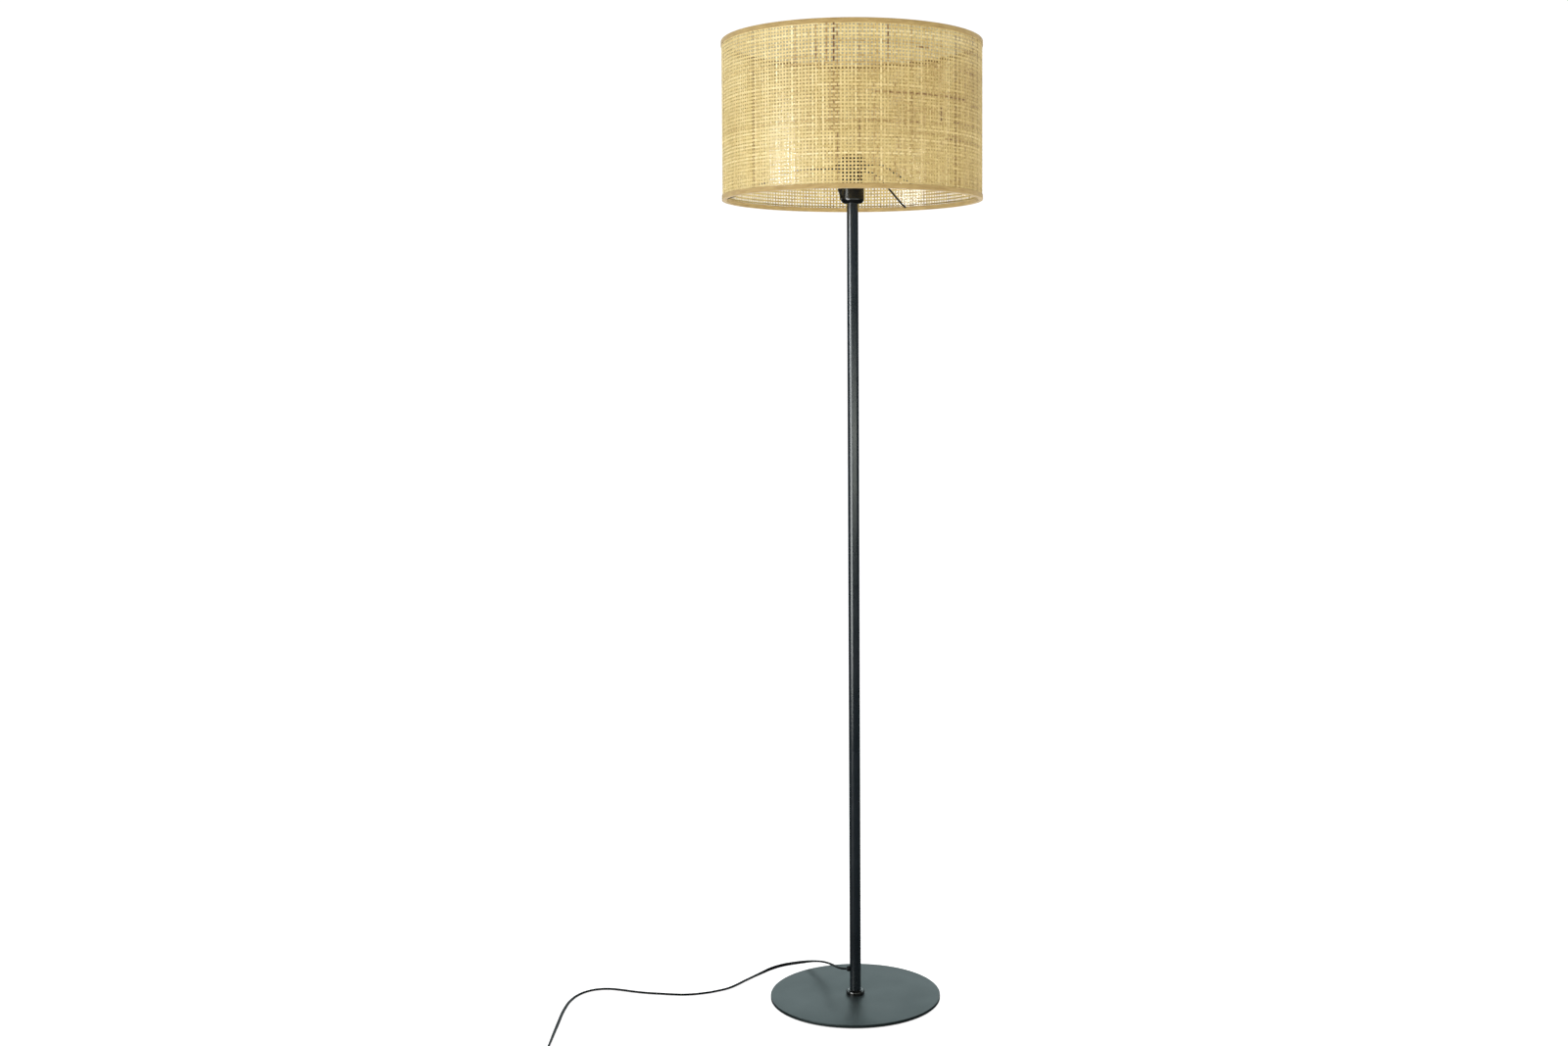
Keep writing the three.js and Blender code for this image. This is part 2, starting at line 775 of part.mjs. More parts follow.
// Lead from the bush to the holder, inside the pole, and the two wires at its end
function innerLead() {
  const top = capBottom + nippleReach;
  const rise = leadExitHeight + innerLeadRise;
  const radius = innerLeadDiameter / 2;
  const path = new THREE.CurvePath();
  path.add(new THREE.LineCurve3(
    new THREE.Vector3(-grommetTip, 0, leadExitHeight), new THREE.Vector3(-tubeInner, 0, leadExitHeight)));
  path.add(new THREE.CubicBezierCurve3(
    new THREE.Vector3(-tubeInner, 0, leadExitHeight),
    new THREE.Vector3(0, 0, leadExitHeight),
    new THREE.Vector3(0, 0, leadExitHeight + innerLeadRise / 4),
    new THREE.Vector3(0, 0, rise)));
  const bend = tubeAlong(path, ovalSection(innerLeadDiameter, innerLeadDiameter, leadSides), armSteps);
  const straight = new THREE.CylinderGeometry(radius, radius, top - rise + radius, leadSides);
  straight.rotateX(Math.PI / 2);
  straight.translate(0, 0, (top + rise - radius) / 2);
  return asGeometry(asSolid(bend).add(asSolid(straight)));
}

function terminalWire(side) {
  const start = capBottom + nippleReach + clearance;
  const top = capTop - coreInset - terminalHeight - clearance * 2;
  const path = new THREE.CubicBezierCurve3(
    new THREE.Vector3(0, side * (wireDiameter / 2 + clearance), start),
    new THREE.Vector3(0, side * (wireDiameter / 2 + clearance), (start * 2 + top) / 3),
    new THREE.Vector3(0, (side * terminalSpacing) / 2, (start + top * 2) / 3),
    new THREE.Vector3(0, (side * terminalSpacing) / 2, top));
  return tubeAlong(path, ovalSection(wireDiameter, wireDiameter, wireSides), wireSteps);
}

// The lead's route on the base and the floor, chosen by eye, exit and coil left out
const leadRoute = [
  [-25, 5.5, 44.6], [-31.5, 19, 42.4], [-37.5, 39, 38], [-44.5, 63, 32], [-53.5, 86, 26],
  [-63, 104, 20.4], [-73.7, 119, 15], [-84.5, 130.5, 10], [-96, 138.5, 5.9], [-108, 141, 3],
  [-119.5, 137, 1.9], [-130, 129, 1.8], [-140.5, 118.5, 1.8], [-152, 104, 1.8], [-165, 87, 1.8],
  [-178.5, 67.5, 1.8], [-191, 48.5, 1.8], [-203, 34, 1.8], [-219, 23, 1.8], [-236, 14.5, 1.8],
  [-252, 9, 1.8], [-268, 7, 1.8], [-286, 8, 1.8], [-306, 11, 1.8], [-328, 14.5, 1.8],
  [-350, 20.5, 1.8], [-371, 28, 1.8], [-390, 33, 1.8], [-408, 32, 1.8], [-424, 24, 1.8],
  [-437, 8, 1.8], [-445, -14, 1.8], [-449, -44, 1.8], [-450, -80, 1.8], [-449.5, -118, 1.8],
  [-449, -158, 1.9], [-448.2, -196, 2.6], [-447.6, -232, 3.2],
];

// A route for a flat lead: its wide side lies level, and rolls on edge at the end
class FlatLeadCurve extends THREE.CatmullRomCurve3 {
  computeFrenetFrames(segments) {
    const frames = { tangents: [], normals: [], binormals: [] };
    for (let step = 0; step <= segments; step += 1) {
      const share = step / segments;
      const tangent = this.getTangentAt(share);
      const across = tangent.clone().cross(upward).normalize();
      const roll = (Math.PI / 2) * THREE.MathUtils.smoothstep(share, rollStartShare, rollEndShare);
      across.applyAxisAngle(tangent, roll);
      frames.tangents.push(tangent);
      frames.normals.push(across);
      frames.binormals.push(tangent.clone().cross(across));
    }
    return frames;
  }
}

function leadRun() {
  const start = new THREE.Vector3(-grommetTip - clearance, 0, leadExitHeight);
  const coilStart = new THREE.Vector3(coilCentreX - coilStartRadius, coilCentreY, coilLift);
  const end = coilStart.add(new THREE.Vector3(0, leadWidth + clearance, 0));
  const points = [
    start,
    start.clone().add(new THREE.Vector3(-leadWidth, 0, 0)),
    ...leadRoute.map(([x, y, z]) => new THREE.Vector3(x, y, z)),
    end.clone().add(new THREE.Vector3(0, leadWidth, 0)),
    end,
  ];
  return new FlatLeadCurve(points);
}

// The coil's middle line: in and out again at a steady rate, in two layers. Where it
// reverses it climbs, and stands half a turn's width further in to pass its neighbours.
function coilPath() {
  const centre = new THREE.Vector3(coilCentreX, coilCentreY, coilLift);
  const steps = Math.round(coilTurns * loopSteps);
  const points = [];
  for (let step = 0; step <= steps; step += 1) {
    const turn = (coilTurns * step) / steps;
    const fromReverse = Math.min(Math.abs(turn - coilTurns / 2), dipTurns);
    const dip = dipTurns * Math.cos((Math.PI * fromReverse) / dipTurns / 2) ** 2;
    const wound = Math.min(turn, coilTurns - turn) + dip;
    const climb = THREE.MathUtils.smoothstep(turn - coilTurns / 2, -climbTurns, climbTurns);
    const angle = Math.PI + turn * fullTurn;
    const radius = coilStartRadius - coilPitch * wound;
    points.push(new THREE.Vector3(radius * Math.cos(angle), radius * Math.sin(angle), climb * coilLayer));
  }
  const first = points[0].clone().add(new THREE.Vector3(0, leadWidth, 0));
  points.unshift(first);
  const last = points[points.length - 1];
  const drop = coilLift + coilLayer - plugThickness / 2;
  for (let step = 1; step <= tailSteps; step += 1) {
    const fall = THREE.MathUtils.smoothstep(step, 0, tailSteps - 1) * drop;
    points.push(last.clone().add(new THREE.Vector3((plugTail * step) / tailSteps, 0, -fall)));
  }
  return points.map((point) => point.add(centre));
}

// Rings of an upright oval section around each point, joined into one closed tube
function upright(points, thickness, height, sides) {
  const rings = points.map((point, place) => {
    const before = points[Math.max(place - 1, 0)];
    const after = points[Math.min(place + 1, points.length - 1)];
    const along = after.clone().sub(before).normalize();
    const across = along.clone().cross(upward).normalize();
    const up = across.clone().cross(along);
    const ring = [];
    const widest = Math.sin(Math.PI / 3);
    for (let side = 0; side < sides; side += 1) {
      const angle = (fullTurn * side) / sides;
      ring.push(point.clone()
        .addScaledVector(up, (height / 2) * Math.cos(angle))
        .addScaledVector(across, ((thickness / 2) * Math.sin(angle)) / widest));
    }
    return ring;
  });
  const places = rings.flat().flatMap((point) => point.toArray());
  const faces = [];
  const lastRing = (rings.length - 1) * sides;
  for (let side = 0; side < sides; side += 1) {
    const next = (side + 1) % sides;
    for (let ring = 0; ring < rings.length - 1; ring += 1) {
      const here = ring * sides;
      const there = here + sides;
      faces.push(here + side, there + side, there + next);
      faces.push(here + side, there + next, here + next);
    }
    if (side > 0 && side < sides - 1) {
      faces.push(0, side, side + 1);
      faces.push(lastRing, lastRing + side + 1, lastRing + side);
    }
  }
  const geometry = new THREE.BufferGeometry();
  geometry.setAttribute("position", new THREE.Float32BufferAttribute(places, 3));
  geometry.setIndex(faces);
  return { geometry, rings };
}

function leastGap(rings) {
  let least = Infinity;
  rings.forEach((ring, place) => {
    for (const other of rings.slice(place + loopSteps / 2)) {
      for (const point of ring) {
        for (const near of other) least = Math.min(least, point.distanceTo(near));
      }
    }
  });
  return least;
}

function coilTie() {
  const turnsAcross = Math.floor(coilTurns / 2) + 1;
  const bundle = (turnsAcross - 1) * coilPitch + leadThickness;
  const stack = coilLayer + leadWidth;
  const ring = (grow) => {
    const half = bundle / 2 + tieSlack + grow;
    const low = -clearance - grow;
    const high = stack + clearance + grow;
    return [[-half, low], [half, low], [half, high], [-half, high]];
  };
  const outline = new THREE.Shape(ring(tieThickness).map(([x, y]) => new THREE.Vector2(x, y)));
  outline.holes.push(new THREE.Path(ring(0).map(([x, y]) => new THREE.Vector2(x, y))));
  const geometry = new THREE.ExtrudeGeometry(outline, { depth: tieWidth, bevelEnabled: false });
  geometry.rotateX(Math.PI / 2);
  geometry.translate(0, tieWidth / 2, tieThickness + clearance);
  const tie = piece("coil_tie", geometry, "blackRubber");
  const bearing = Math.PI + tieTurnShare * fullTurn;
  const middle = coilStartRadius - coilPitch * (tieTurnShare + (turnsAcross - 1) / 2);
  tie.position.set(coilCentreX + middle * Math.cos(bearing), coilCentreY + middle * Math.sin(bearing), 0);
  tie.rotation.z = bearing;
  return tie;
}

function plugBody() {
  const tail = plugTailWidth / 2 - plugChamfer;
  const face = plugWidth / 2 - plugChamfer;
  const outline = new THREE.Shape([
    new THREE.Vector2(plugChamfer, -tail),
    new THREE.Vector2(plugLength - plugShoulder, -face),
    new THREE.Vector2(plugLength - plugChamfer, -face),
    new THREE.Vector2(plugLength - plugChamfer, face),
    new THREE.Vector2(plugLength - plugShoulder, face),
    new THREE.Vector2(plugChamfer, tail),
  ]);
  const geometry = new THREE.ExtrudeGeometry(outline, {
    depth: plugThickness - plugChamfer * 2,
    bevelThickness: plugChamfer,
    bevelSize: plugChamfer,
    bevelSegments: 1,
  });
  return geometry.translate(0, 0, plugChamfer - plugThickness / 2);
}

function plugRelief() {
  const outline = [[0, 0]];
  const tip = plugReliefTip / 2;
  const swell = (plugReliefRoot - plugReliefTip) / 2;
  const groove = swell / 2;
  const radiusAt = (share) => tip + swell * share;
  outline.push([tip, 0]);
  for (let rib = 1; rib <= plugReliefRibs; rib += 1) {
    const share = rib / (plugReliefRibs + 1);
    const half = 1 / (plugReliefRibs + 1) / 4;
    outline.push([radiusAt(share - half), plugReliefLength * (share - half)]);
    outline.push([radiusAt(share) - groove, plugReliefLength * share]);
    outline.push([radiusAt(share + half), plugReliefLength * (share + half)]);
  }
  outline.push([radiusAt(1), plugReliefLength], [0, plugReliefLength]);
  return turned(outline, smallRound).rotateY(Math.PI / 2);
}

function plugPin() {
  const radius = plugPinDiameter / 2;
  return turned([
    [0, 0], [radius, 0], [radius, plugPinLength - radius],
    ...corner(0, plugPinLength - radius, radius, 0, 90).slice(1, -1),
    [0, plugPinLength],
  ], smallRound).rotateY(Math.PI / 2);
}

function plug(end) {
  const group = new THREE.Group();
  group.position.copy(end);
  const relief = piece("plug_relief", plugRelief(), "blackRubber");
  relief.position.x = clearance;
  const body = piece("plug_body", plugBody(), "blackGloss");
  body.position.x = plugReliefLength + clearance * 2;
  group.add(relief, body);
  ["plug_pin_left", "plug_pin_right"].forEach((name, side) => {
    const pin = piece(name, plugPin(), "zinc");
    const across = side ? -plugPinSpacing / 2 : plugPinSpacing / 2;
    pin.position.set(plugReliefLength + plugLength + clearance * 3, across, 0);
    group.add(pin);
  });
  return group;
}

function lead() {
  const group = new THREE.Group();
  const grommet = piece("cord_grommet", cordGrommet(), "blackRubber");
  grommet.position.z = leadExitHeight;
  const run = leadRun();
  const section = ovalSection(leadWidth, leadThickness, leadSides);
  const points = coilPath();
  const coil = upright(points, leadThickness, leadWidth, loopSides);
  const steps = points.slice(1).map((point, place) => point.distanceTo(points[place]));
  const coilLength = steps.reduce((sum, step) => sum + step, 0);
  console.log(`least gap of the coil to itself: ${leastGap(coil.rings).toFixed(2)} mm`);
  console.log(`lead outside the pole: ${(run.getLength() + coilLength).toFixed(0)} mm`);
  group.add(
    grommet,
    piece("inner_lead", innerLead(), "blackLead"),
    piece("live_wire", terminalWire(-1), "liveWire"),
    piece("neutral_wire", terminalWire(1), "neutralWire"),
    piece("cord_run", tubeAlong(run, section, leadSteps), "blackLead"),
    piece("cord_coil", coil.geometry, "blackLead"),
    coilTie(),
    plug(points[points.length - 1]),
  );
  return group;
}

const lamp = new THREE.Group();
lamp.name = "rattan_floor_lamp";
lamp.add(base(), pole(), holder(), rocker(), shadeNut(), shade(), lead());

export default lamp;
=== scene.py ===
import json
import math
import random

import bmesh
import bpy
from mathutils import Matrix, Vector, noise


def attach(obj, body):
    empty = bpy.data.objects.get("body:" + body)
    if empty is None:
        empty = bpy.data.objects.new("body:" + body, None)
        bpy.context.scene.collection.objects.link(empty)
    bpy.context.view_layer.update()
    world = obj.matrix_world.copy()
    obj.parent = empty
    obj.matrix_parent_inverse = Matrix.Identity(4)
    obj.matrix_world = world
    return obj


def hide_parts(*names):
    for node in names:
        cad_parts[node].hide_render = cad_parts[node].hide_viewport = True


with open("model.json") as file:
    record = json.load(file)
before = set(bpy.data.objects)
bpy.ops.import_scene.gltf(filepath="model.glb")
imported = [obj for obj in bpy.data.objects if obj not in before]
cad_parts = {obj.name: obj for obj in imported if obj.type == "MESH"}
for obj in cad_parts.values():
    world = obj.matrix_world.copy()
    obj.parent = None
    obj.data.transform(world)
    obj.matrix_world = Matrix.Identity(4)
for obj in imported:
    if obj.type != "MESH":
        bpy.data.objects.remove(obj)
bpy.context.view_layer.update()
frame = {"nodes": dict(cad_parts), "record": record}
print("frame loaded")

mm = 0.001
fullTurn = 2 * math.pi
collection = bpy.context.scene.collection


view = {
    "place": (0, -2.6699, 0.9975),
    "lens": 39.63,
    "sensor": 36,
    "clip": (0.05, 60),
    "pitchDeg": -3.0,
    "rollDeg": -0.215,
    "shift": (-0.04425, -0.0448),
}


def makeCamera():
    data = bpy.data.cameras.new("camera")
    data.lens = view["lens"]
    data.sensor_width = view["sensor"]
    data.shift_x, data.shift_y = view["shift"]
    data.clip_start, data.clip_end = view["clip"]
    camera = bpy.data.objects.new("camera", data)
    camera.location = view["place"]
    pitched = Matrix.Rotation(math.radians(90 + view["pitchDeg"]), 4, "X")
    rolled = Matrix.Rotation(math.radians(view["rollDeg"]), 4, "Z")
    camera.rotation_euler = (pitched @ rolled).to_euler()
    collection.objects.link(camera)
    bpy.context.scene.camera = camera


makeCamera()
print("camera placed")


def addNode(material, kind, inputs=None, **settings):
    node = material.node_tree.nodes.new("ShaderNode" + kind)
    for name, value in settings.items():
        setattr(node, name, value)
    for name, value in (inputs or {}).items():
        if isinstance(value, bpy.types.NodeSocket):
            material.node_tree.links.new(value, node.inputs[name])
        else:
            node.inputs[name].default_value = value
    return node


def newMaterial(name, metallic=0.0, ior=1.5, sheen=0.0):
    material = bpy.data.materials.new(name)
    material.use_nodes = True
    shader = material.node_tree.nodes["Principled BSDF"]
    shader.inputs["Metallic"].default_value = metallic
    shader.inputs["IOR"].default_value = ior
    shader.inputs["Sheen Weight"].default_value = sheen
    return material, shader


def wire(material, source, target):
    material.node_tree.links.new(source, target)


def objectPlace(material, stretch=(1, 1, 1)):
    place = addNode(material, "TexCoord").outputs["Object"]
    return addNode(material, "Mapping", {"Vector": place, "Scale": stretch}).outputs["Vector"]


def noiseAt(material, place, scale, detail=2.0, roughness=0.5):
    node = addNode(material, "TexNoise", {
        "Vector": place, "Scale": scale, "Detail": detail, "Roughness": roughness})
    return node.outputs["Fac"]


def spread(material, source, low, high, fromLow=0.3, fromHigh=0.7):
    node = addNode(material, "MapRange", {
        "Value": source, "From Min": fromLow, "From Max": fromHigh, "To Min": low, "To Max": high})
    return node.outputs["Result"]


# Colours, each at its place from 0 to 1
def ramp(material, source, places, colours):
    node = addNode(material, "ValToRGB", {"Fac": source})
    points = node.color_ramp.elements
    while len(points) < len(places):
        points.new(0.5)
    for point, place, colour in zip(points, places, colours):
        point.position = place
        point.color = (*colour, 1)
    return node.outputs["Color"]


def roughen(material, shader, height, strength, depth):
    bump = addNode(material, "Bump", {"Height": height, "Strength": strength, "Distance": depth})
    wire(material, bump.outputs["Normal"], shader.inputs["Normal"])


# In the tables of looks a noise is (scale, detail, roughness), the stops are the places of
# two colours, and a bump is (strength, depth in metres)
coatLook = {"mottle": (16, 4), "stops": (0.3, 0.7), "grain": (1500, 2), "bump": (0.25, 0.00012)}


# Satin powder coat: fine orange-peel grain under a broad, faint mottling
def powderCoat(name, dark, pale, rough, tint=(1, 1, 1)):
    material, shader = newMaterial(name)
    shader.inputs["Specular Tint"].default_value = (*tint, 1)
    place = objectPlace(material)
    mottle = noiseAt(material, place, *coatLook["mottle"])
    grain = noiseAt(material, place, *coatLook["grain"])
    wire(material, ramp(material, mottle, coatLook["stops"], (dark, pale)), shader.inputs["Base Color"])
    wire(material, spread(material, mottle, *rough), shader.inputs["Roughness"])
    roughen(material, shader, grain, *coatLook["bump"])
    return material


def paler(colour, gain, lift):
    return tuple(channel * gain + lift for channel in colour)


mouldedLook = {
    "smearStretch": (90, 90, 14),
    "smear": (1, 4),
    "mottle": (40, 3),
    "stops": (0.3, 0.75),
    "pale": (1.8, 0.002),
    "grain": (900, 2),
    "bump": (0.2, 0.00003),
}


# Moulded plastic: glossy, with faint wiping marks in the gloss
def moulded(name, base, rough):
    material, shader = newMaterial(name)
    place = objectPlace(material)
    smear = noiseAt(material, objectPlace(material, mouldedLook["smearStretch"]), *mouldedLook["smear"])
    mottle = noiseAt(material, place, *mouldedLook["mottle"])
    pale = paler(base, *mouldedLook["pale"])
    wire(material, ramp(material, mottle, mouldedLook["stops"], (base, pale)), shader.inputs["Base Color"])
    wire(material, spread(material, smear, *rough), shader.inputs["Roughness"])
    roughen(material, shader, noiseAt(material, place, *mouldedLook["grain"]), *mouldedLook["bump"])
    return material


softLook = {
    "mottle": (60, 4),
    "stops": (0.35, 0.7),
    "pale": (1.7, 0.001),
    "pits": (1200, 3, 0.6),
    "bump": (0.35, 0.00008),
}


# Rubber and soft sheathing: dull, finely pitted
def softBlack(name, base, rough, shine=0.5, tint=1):
    material, shader = newMaterial(name, ior=1.45)
    shader.inputs["Specular IOR Level"].default_value = shine
    shader.inputs["Specular Tint"].default_value = (tint, tint, tint, 1)
    place = objectPlace(material)
    mottle = noiseAt(material, place, *softLook["mottle"])
    pits = noiseAt(material, place, *softLook["pits"])
    pale = paler(base, *softLook["pale"])
    wire(material, ramp(material, mottle, softLook["stops"], (base, pale)), shader.inputs["Base Color"])
    wire(material, spread(material, pits, *rough), shader.inputs["Roughness"])
    roughen(material, shader, pits, *softLook["bump"])
    return material


metalLook = {"lines": (1, 3), "cloud": (120, 4), "stops": (0.35, 0.8), "bump": (0.2, 0.00003)}


# Bare metal: fine turning lines and a little tarnish
def bareMetal(name, colour, tarnish, rough, stretch=(40, 40, 2600)):
    material, shader = newMaterial(name, metallic=1.0)
    lines = noiseAt(material, objectPlace(material, stretch), *metalLook["lines"])
    cloud = noiseAt(material, objectPlace(material), *metalLook["cloud"])
    tone = ramp(material, cloud, metalLook["stops"], (colour, tarnish))
    wire(material, tone, shader.inputs["Base Color"])
    wire(material, spread(material, lines, *rough), shader.inputs["Roughness"])
    roughen(material, shader, lines, *metalLook["bump"])
    return material


rattanLook = {
    "tones": [
        (0.00, (0.07, 0.03, 0.011)),
        (0.16, (0.2, 0.1, 0.032)),
        (0.34, (0.43, 0.29, 0.095)),
        (0.56, (0.605, 0.455, 0.175)),
        (0.78, (0.74, 0.6, 0.285)),
        (1.00, (0.86, 0.78, 0.48)),
    ],
    "fibres": {"stretch": (28, 9000, 1), "detail": (3, 0.6)},
    "fibreShift": 0.07,
    "drift": {"stretch": (34, 140, 1), "detail": (3,)},
    "driftShift": 0.1,
    "blotch": {"stretch": (170, 260, 1), "detail": (2,)},
    "blotchShift": 0.12,
    "cloud": (14, 2),
    "cloudShift": 0.05,
    "rough": (0.42, 0.62),
    "bump": (0.5, 0.00012),
}


# Peeled strips: a tone for each strip, long fibres along it, and slow drifts of colour.
# The strip's own UV map runs along it in metres, and across it from side to side.
def rattan(name):
    material, shader = newMaterial(name, ior=1.45, sheen=0.08)
    strip = addNode(material, "UVMap", uv_map="strip").outputs["UV"]
    tone = addNode(material, "Attribute", attribute_name="tone").outputs["Fac"]

    def along(key):
        look = rattanLook[key]
        stretched = addNode(material, "Mapping", {"Vector": strip, "Scale": look["stretch"]})
        return noiseAt(material, stretched.outputs["Vector"], 1, *look["detail"])

    def shifted(source, key):
        return spread(material, source, -rattanLook[key], rattanLook[key])

    def total(first, second, **settings):
        return addNode(material, "Math", {0: first, 1: second}, operation="ADD", **settings).outputs[0]

    fibres = along("fibres")
    streaks = total(shifted(along("drift"), "driftShift"), shifted(fibres, "fibreShift"))
    cloud = noiseAt(material, objectPlace(material), *rattanLook["cloud"])
    patches = total(shifted(along("blotch"), "blotchShift"), shifted(cloud, "cloudShift"))
    mixed = total(tone, total(patches, streaks), use_clamp=True)
    wire(material, ramp(material, mixed, *zip(*rattanLook["tones"])), shader.inputs["Base Color"])
    wire(material, spread(material, fibres, *rattanLook["rough"]), shader.inputs["Roughness"])
    roughen(material, shader, fibres, *rattanLook["bump"])
    return material


tapeLook = {
    "dark": (0.33, 0.215, 0.07),
    "pale": (0.455, 0.32, 0.118),
    # The colour of the painted shade on the top tape's inner lip
    "paintedLipShade": (0.11, 0.06, 0.018),
    "threads": 75,
    "waver": 0.6,
    "cloudStretch": (60, 260, 1),
    "cloud": (1, 4),
    "stops": (0.3, 0.7),
    "rough": (0.62, 0.82),
    "bump": (0.6, 0.00015),
}


# Folded binding tape: a fine plain cloth, its threads counted round and up the shade
def bindingTape(name):
    material, shader = newMaterial(name, ior=1.4, sheen=0.15)
    cloth = addNode(material, "UVMap", uv_map="cloth").outputs["UV"]
    threads = [addNode(material, "TexWave", {
        "Vector": cloth, "Scale": tapeLook["threads"], "Distortion": tapeLook["waver"], "Detail": 1.0},
        bands_direction=direction).outputs["Fac"] for direction in ("X", "Y")]
    woven = addNode(material, "Math", {0: threads[0], 1: threads[1]}, operation="MAXIMUM").outputs[0]
    stretched = addNode(material, "Mapping", {"Vector": cloth, "Scale": tapeLook["cloudStretch"]})
    cloud = noiseAt(material, stretched.outputs["Vector"], *tapeLook["cloud"])
    colour = ramp(material, cloud, tapeLook["stops"], (tapeLook["dark"], tapeLook["pale"]))
    # Painted shade: faces marked by this attribute, the top tape's inner lip, are darkened towards a dark
    # brown
    paintedLipShade = addNode(material, "Attribute", attribute_name="paintedLipShade").outputs["Fac"]
    withLipShade = addNode(material, "Mix", {
        "Factor": paintedLipShade, 6: colour, 7: (*tapeLook["paintedLipShade"], 1)}, data_type="RGBA")
    wire(material, withLipShade.outputs[2], shader.inputs["Base Color"])
    wire(material, spread(material, woven, *tapeLook["rough"], 0, 1), shader.inputs["Roughness"])
    roughen(material, shader, woven, *tapeLook["bump"])
    return material


filmLook = {
    "clear": (0.99, 0.982, 0.95),
    "ripple": (14, 3),
    "rough": (0.14, 0.2),
    "bump": (0.08, 0.002),
    "gloss": (0.11, 0.4),
    "steepness": 4.0,
}


# Clear film: mostly see-through, glossy on the face that the light enters by
def clearFilm(name):
    material, shader = newMaterial(name)
    ripple = noiseAt(material, objectPlace(material), *filmLook["ripple"])
    clear = addNode(material, "BsdfTransparent", {"Color": (*filmLook["clear"], 1)})
    gloss = addNode(material, "BsdfGlossy", {"Color": (1, 1, 1, 1)})
    wire(material, spread(material, ripple, *filmLook["rough"]), gloss.inputs["Roughness"])
    roughen(material, gloss, ripple, *filmLook["bump"])
    facing = addNode(material, "LayerWeight", {"Blend": 0.5}).outputs["Facing"]
    steep = addNode(material, "Math", {0: facing, 1: filmLook["steepness"]}, operation="POWER").outputs[0]
    entering = spread(material, addNode(material, "NewGeometry").outputs["Backfacing"], 1, 0, 0, 1)
    share = addNode(material, "Math", {
        0: spread(material, steep, *filmLook["gloss"], 0, 1), 1: entering}, operation="MULTIPLY")
    blend = addNode(material, "MixShader", {0: share.outputs[0], 1: clear.outputs[0], 2: gloss.outputs[0]})
    material.node_tree.nodes.remove(shader)
    output = material.node_tree.nodes["Material Output"]
    wire(material, blend.outputs[0], output.inputs["Surface"])
    return material


finish = {
    "base_paint": powderCoat("basePaint", (0.01, 0.016, 0.017), (0.014, 0.021, 0.022), (0.4, 0.46),
                             (0.82, 1, 1)),
    "pole_paint": powderCoat("polePaint", (0.007, 0.012, 0.016), (0.012, 0.018, 0.024), (0.2, 0.27)),
    "frame_paint": powderCoat("framePaint", (0.005, 0.005, 0.005), (0.01, 0.01, 0.01), (0.3, 0.42)),
    "gloss_black": moulded("glossBlack", (0.003, 0.0033, 0.0033), (0.11, 0.17)),
    "rubber_black": softBlack("rubberBlack", (0.004, 0.004, 0.0045), (0.5, 0.68), shine=0.3, tint=0.5),
    "lead_sheath": softBlack("leadSheath", (0.002, 0.002, 0.0025), (0.34, 0.48), shine=0.15, tint=0.3),
    "pad_rubber": softBlack("padRubber", (0.02, 0.02, 0.02), (0.8, 0.95)),
    "zinc_steel": bareMetal("zincSteel", (0.62, 0.64, 0.66), (0.45, 0.47, 0.5), (0.26, 0.42)),
    "plug_nickel": bareMetal("plugNickel", (0.7, 0.68, 0.64), (0.56, 0.54, 0.5), (0.14, 0.24),
                             (2600, 40, 40)),
    "contact_brass": bareMetal("contactBrass", (0.8, 0.6, 0.26), (0.6, 0.4, 0.14), (0.2, 0.34)),
    "core_insulator": moulded("coreInsulator", (0.03, 0.018, 0.012), (0.32, 0.45)),
    "wire_brown": moulded("wireBrown", (0.11, 0.036, 0.013), (0.38, 0.5)),
    "wire_blue": moulded("wireBlue", (0.016, 0.07, 0.26), (0.38, 0.5)),
    "rattan_weave": rattan("rattanWeave"),
    "edge_tape": bindingTape("edgeTape"),
    "clear_film": clearFilm("clearFilm"),
}
print("materials made")


def linkPiece(data, name, body, slotName, replaced):
    piece = bpy.data.objects.new(name, data)
    collection.objects.link(piece)
    data.materials.append(finish[slotName])
    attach(piece, body)
    if replaced:
        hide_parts(*replaced)
    return piece


def finishPiece(bm, name, body, slotName, replaced=(), creaseDeg=30):
    mesh = bpy.data.meshes.new(name)
    bm.to_mesh(mesh)
    bm.free()
    for face in mesh.polygons:
        face.use_smooth = True
    mesh.set_sharp_from_angle(angle=math.radians(creaseDeg))
    return linkPiece(mesh, name, body, slotName, replaced)


def faceOut(bm):
    bmesh.ops.recalc_face_normals(bm, faces=bm.faces)


# Turns a mesh about the origin and then shifts it by millimetres
def moved(bm, shift, turnDeg=0, axis="Y"):
    bmesh.ops.rotate(bm, verts=bm.verts, matrix=Matrix.Rotation(math.radians(turnDeg), 3, axis))
    bmesh.ops.translate(bm, verts=bm.verts, vec=Vector(shift) * mm)


# Spins part of a mesh round the lamp's axis
def spin(bm, geom, angle, steps, **settings):
    bmesh.ops.spin(bm, geom=geom, cent=(0, 0, 0), axis=(0, 0, 1), angle=angle, steps=steps, **settings)


# A profile of (radius, height) points, in millimetres, as a line or a closed loop
def profileOf(bm, outline, closed=True):
    corners = [bm.verts.new((radius * mm, 0, height * mm)) for radius, height in outline]
    after = corners[1:] + corners[:1] if closed else corners[1:]
    return corners + [bm.edges.new(pair) for pair in zip(corners, after)]


def turned(outline, steps=96, closed=True):
    bm = bmesh.new()
    spin(bm, profileOf(bm, outline, closed), fullTurn, steps, use_merge=True)
    bmesh.ops.remove_doubles(bm, verts=bm.verts, dist=1e-6)
    faceOut(bm)
    return bm


def bevel(bm, edges, width, segments):
    bmesh.ops.bevel(bm, geom=edges, offset=width * mm, affect="EDGES",
                    segments=segments, profile=0.5, material=-1, clamp_overlap=True)


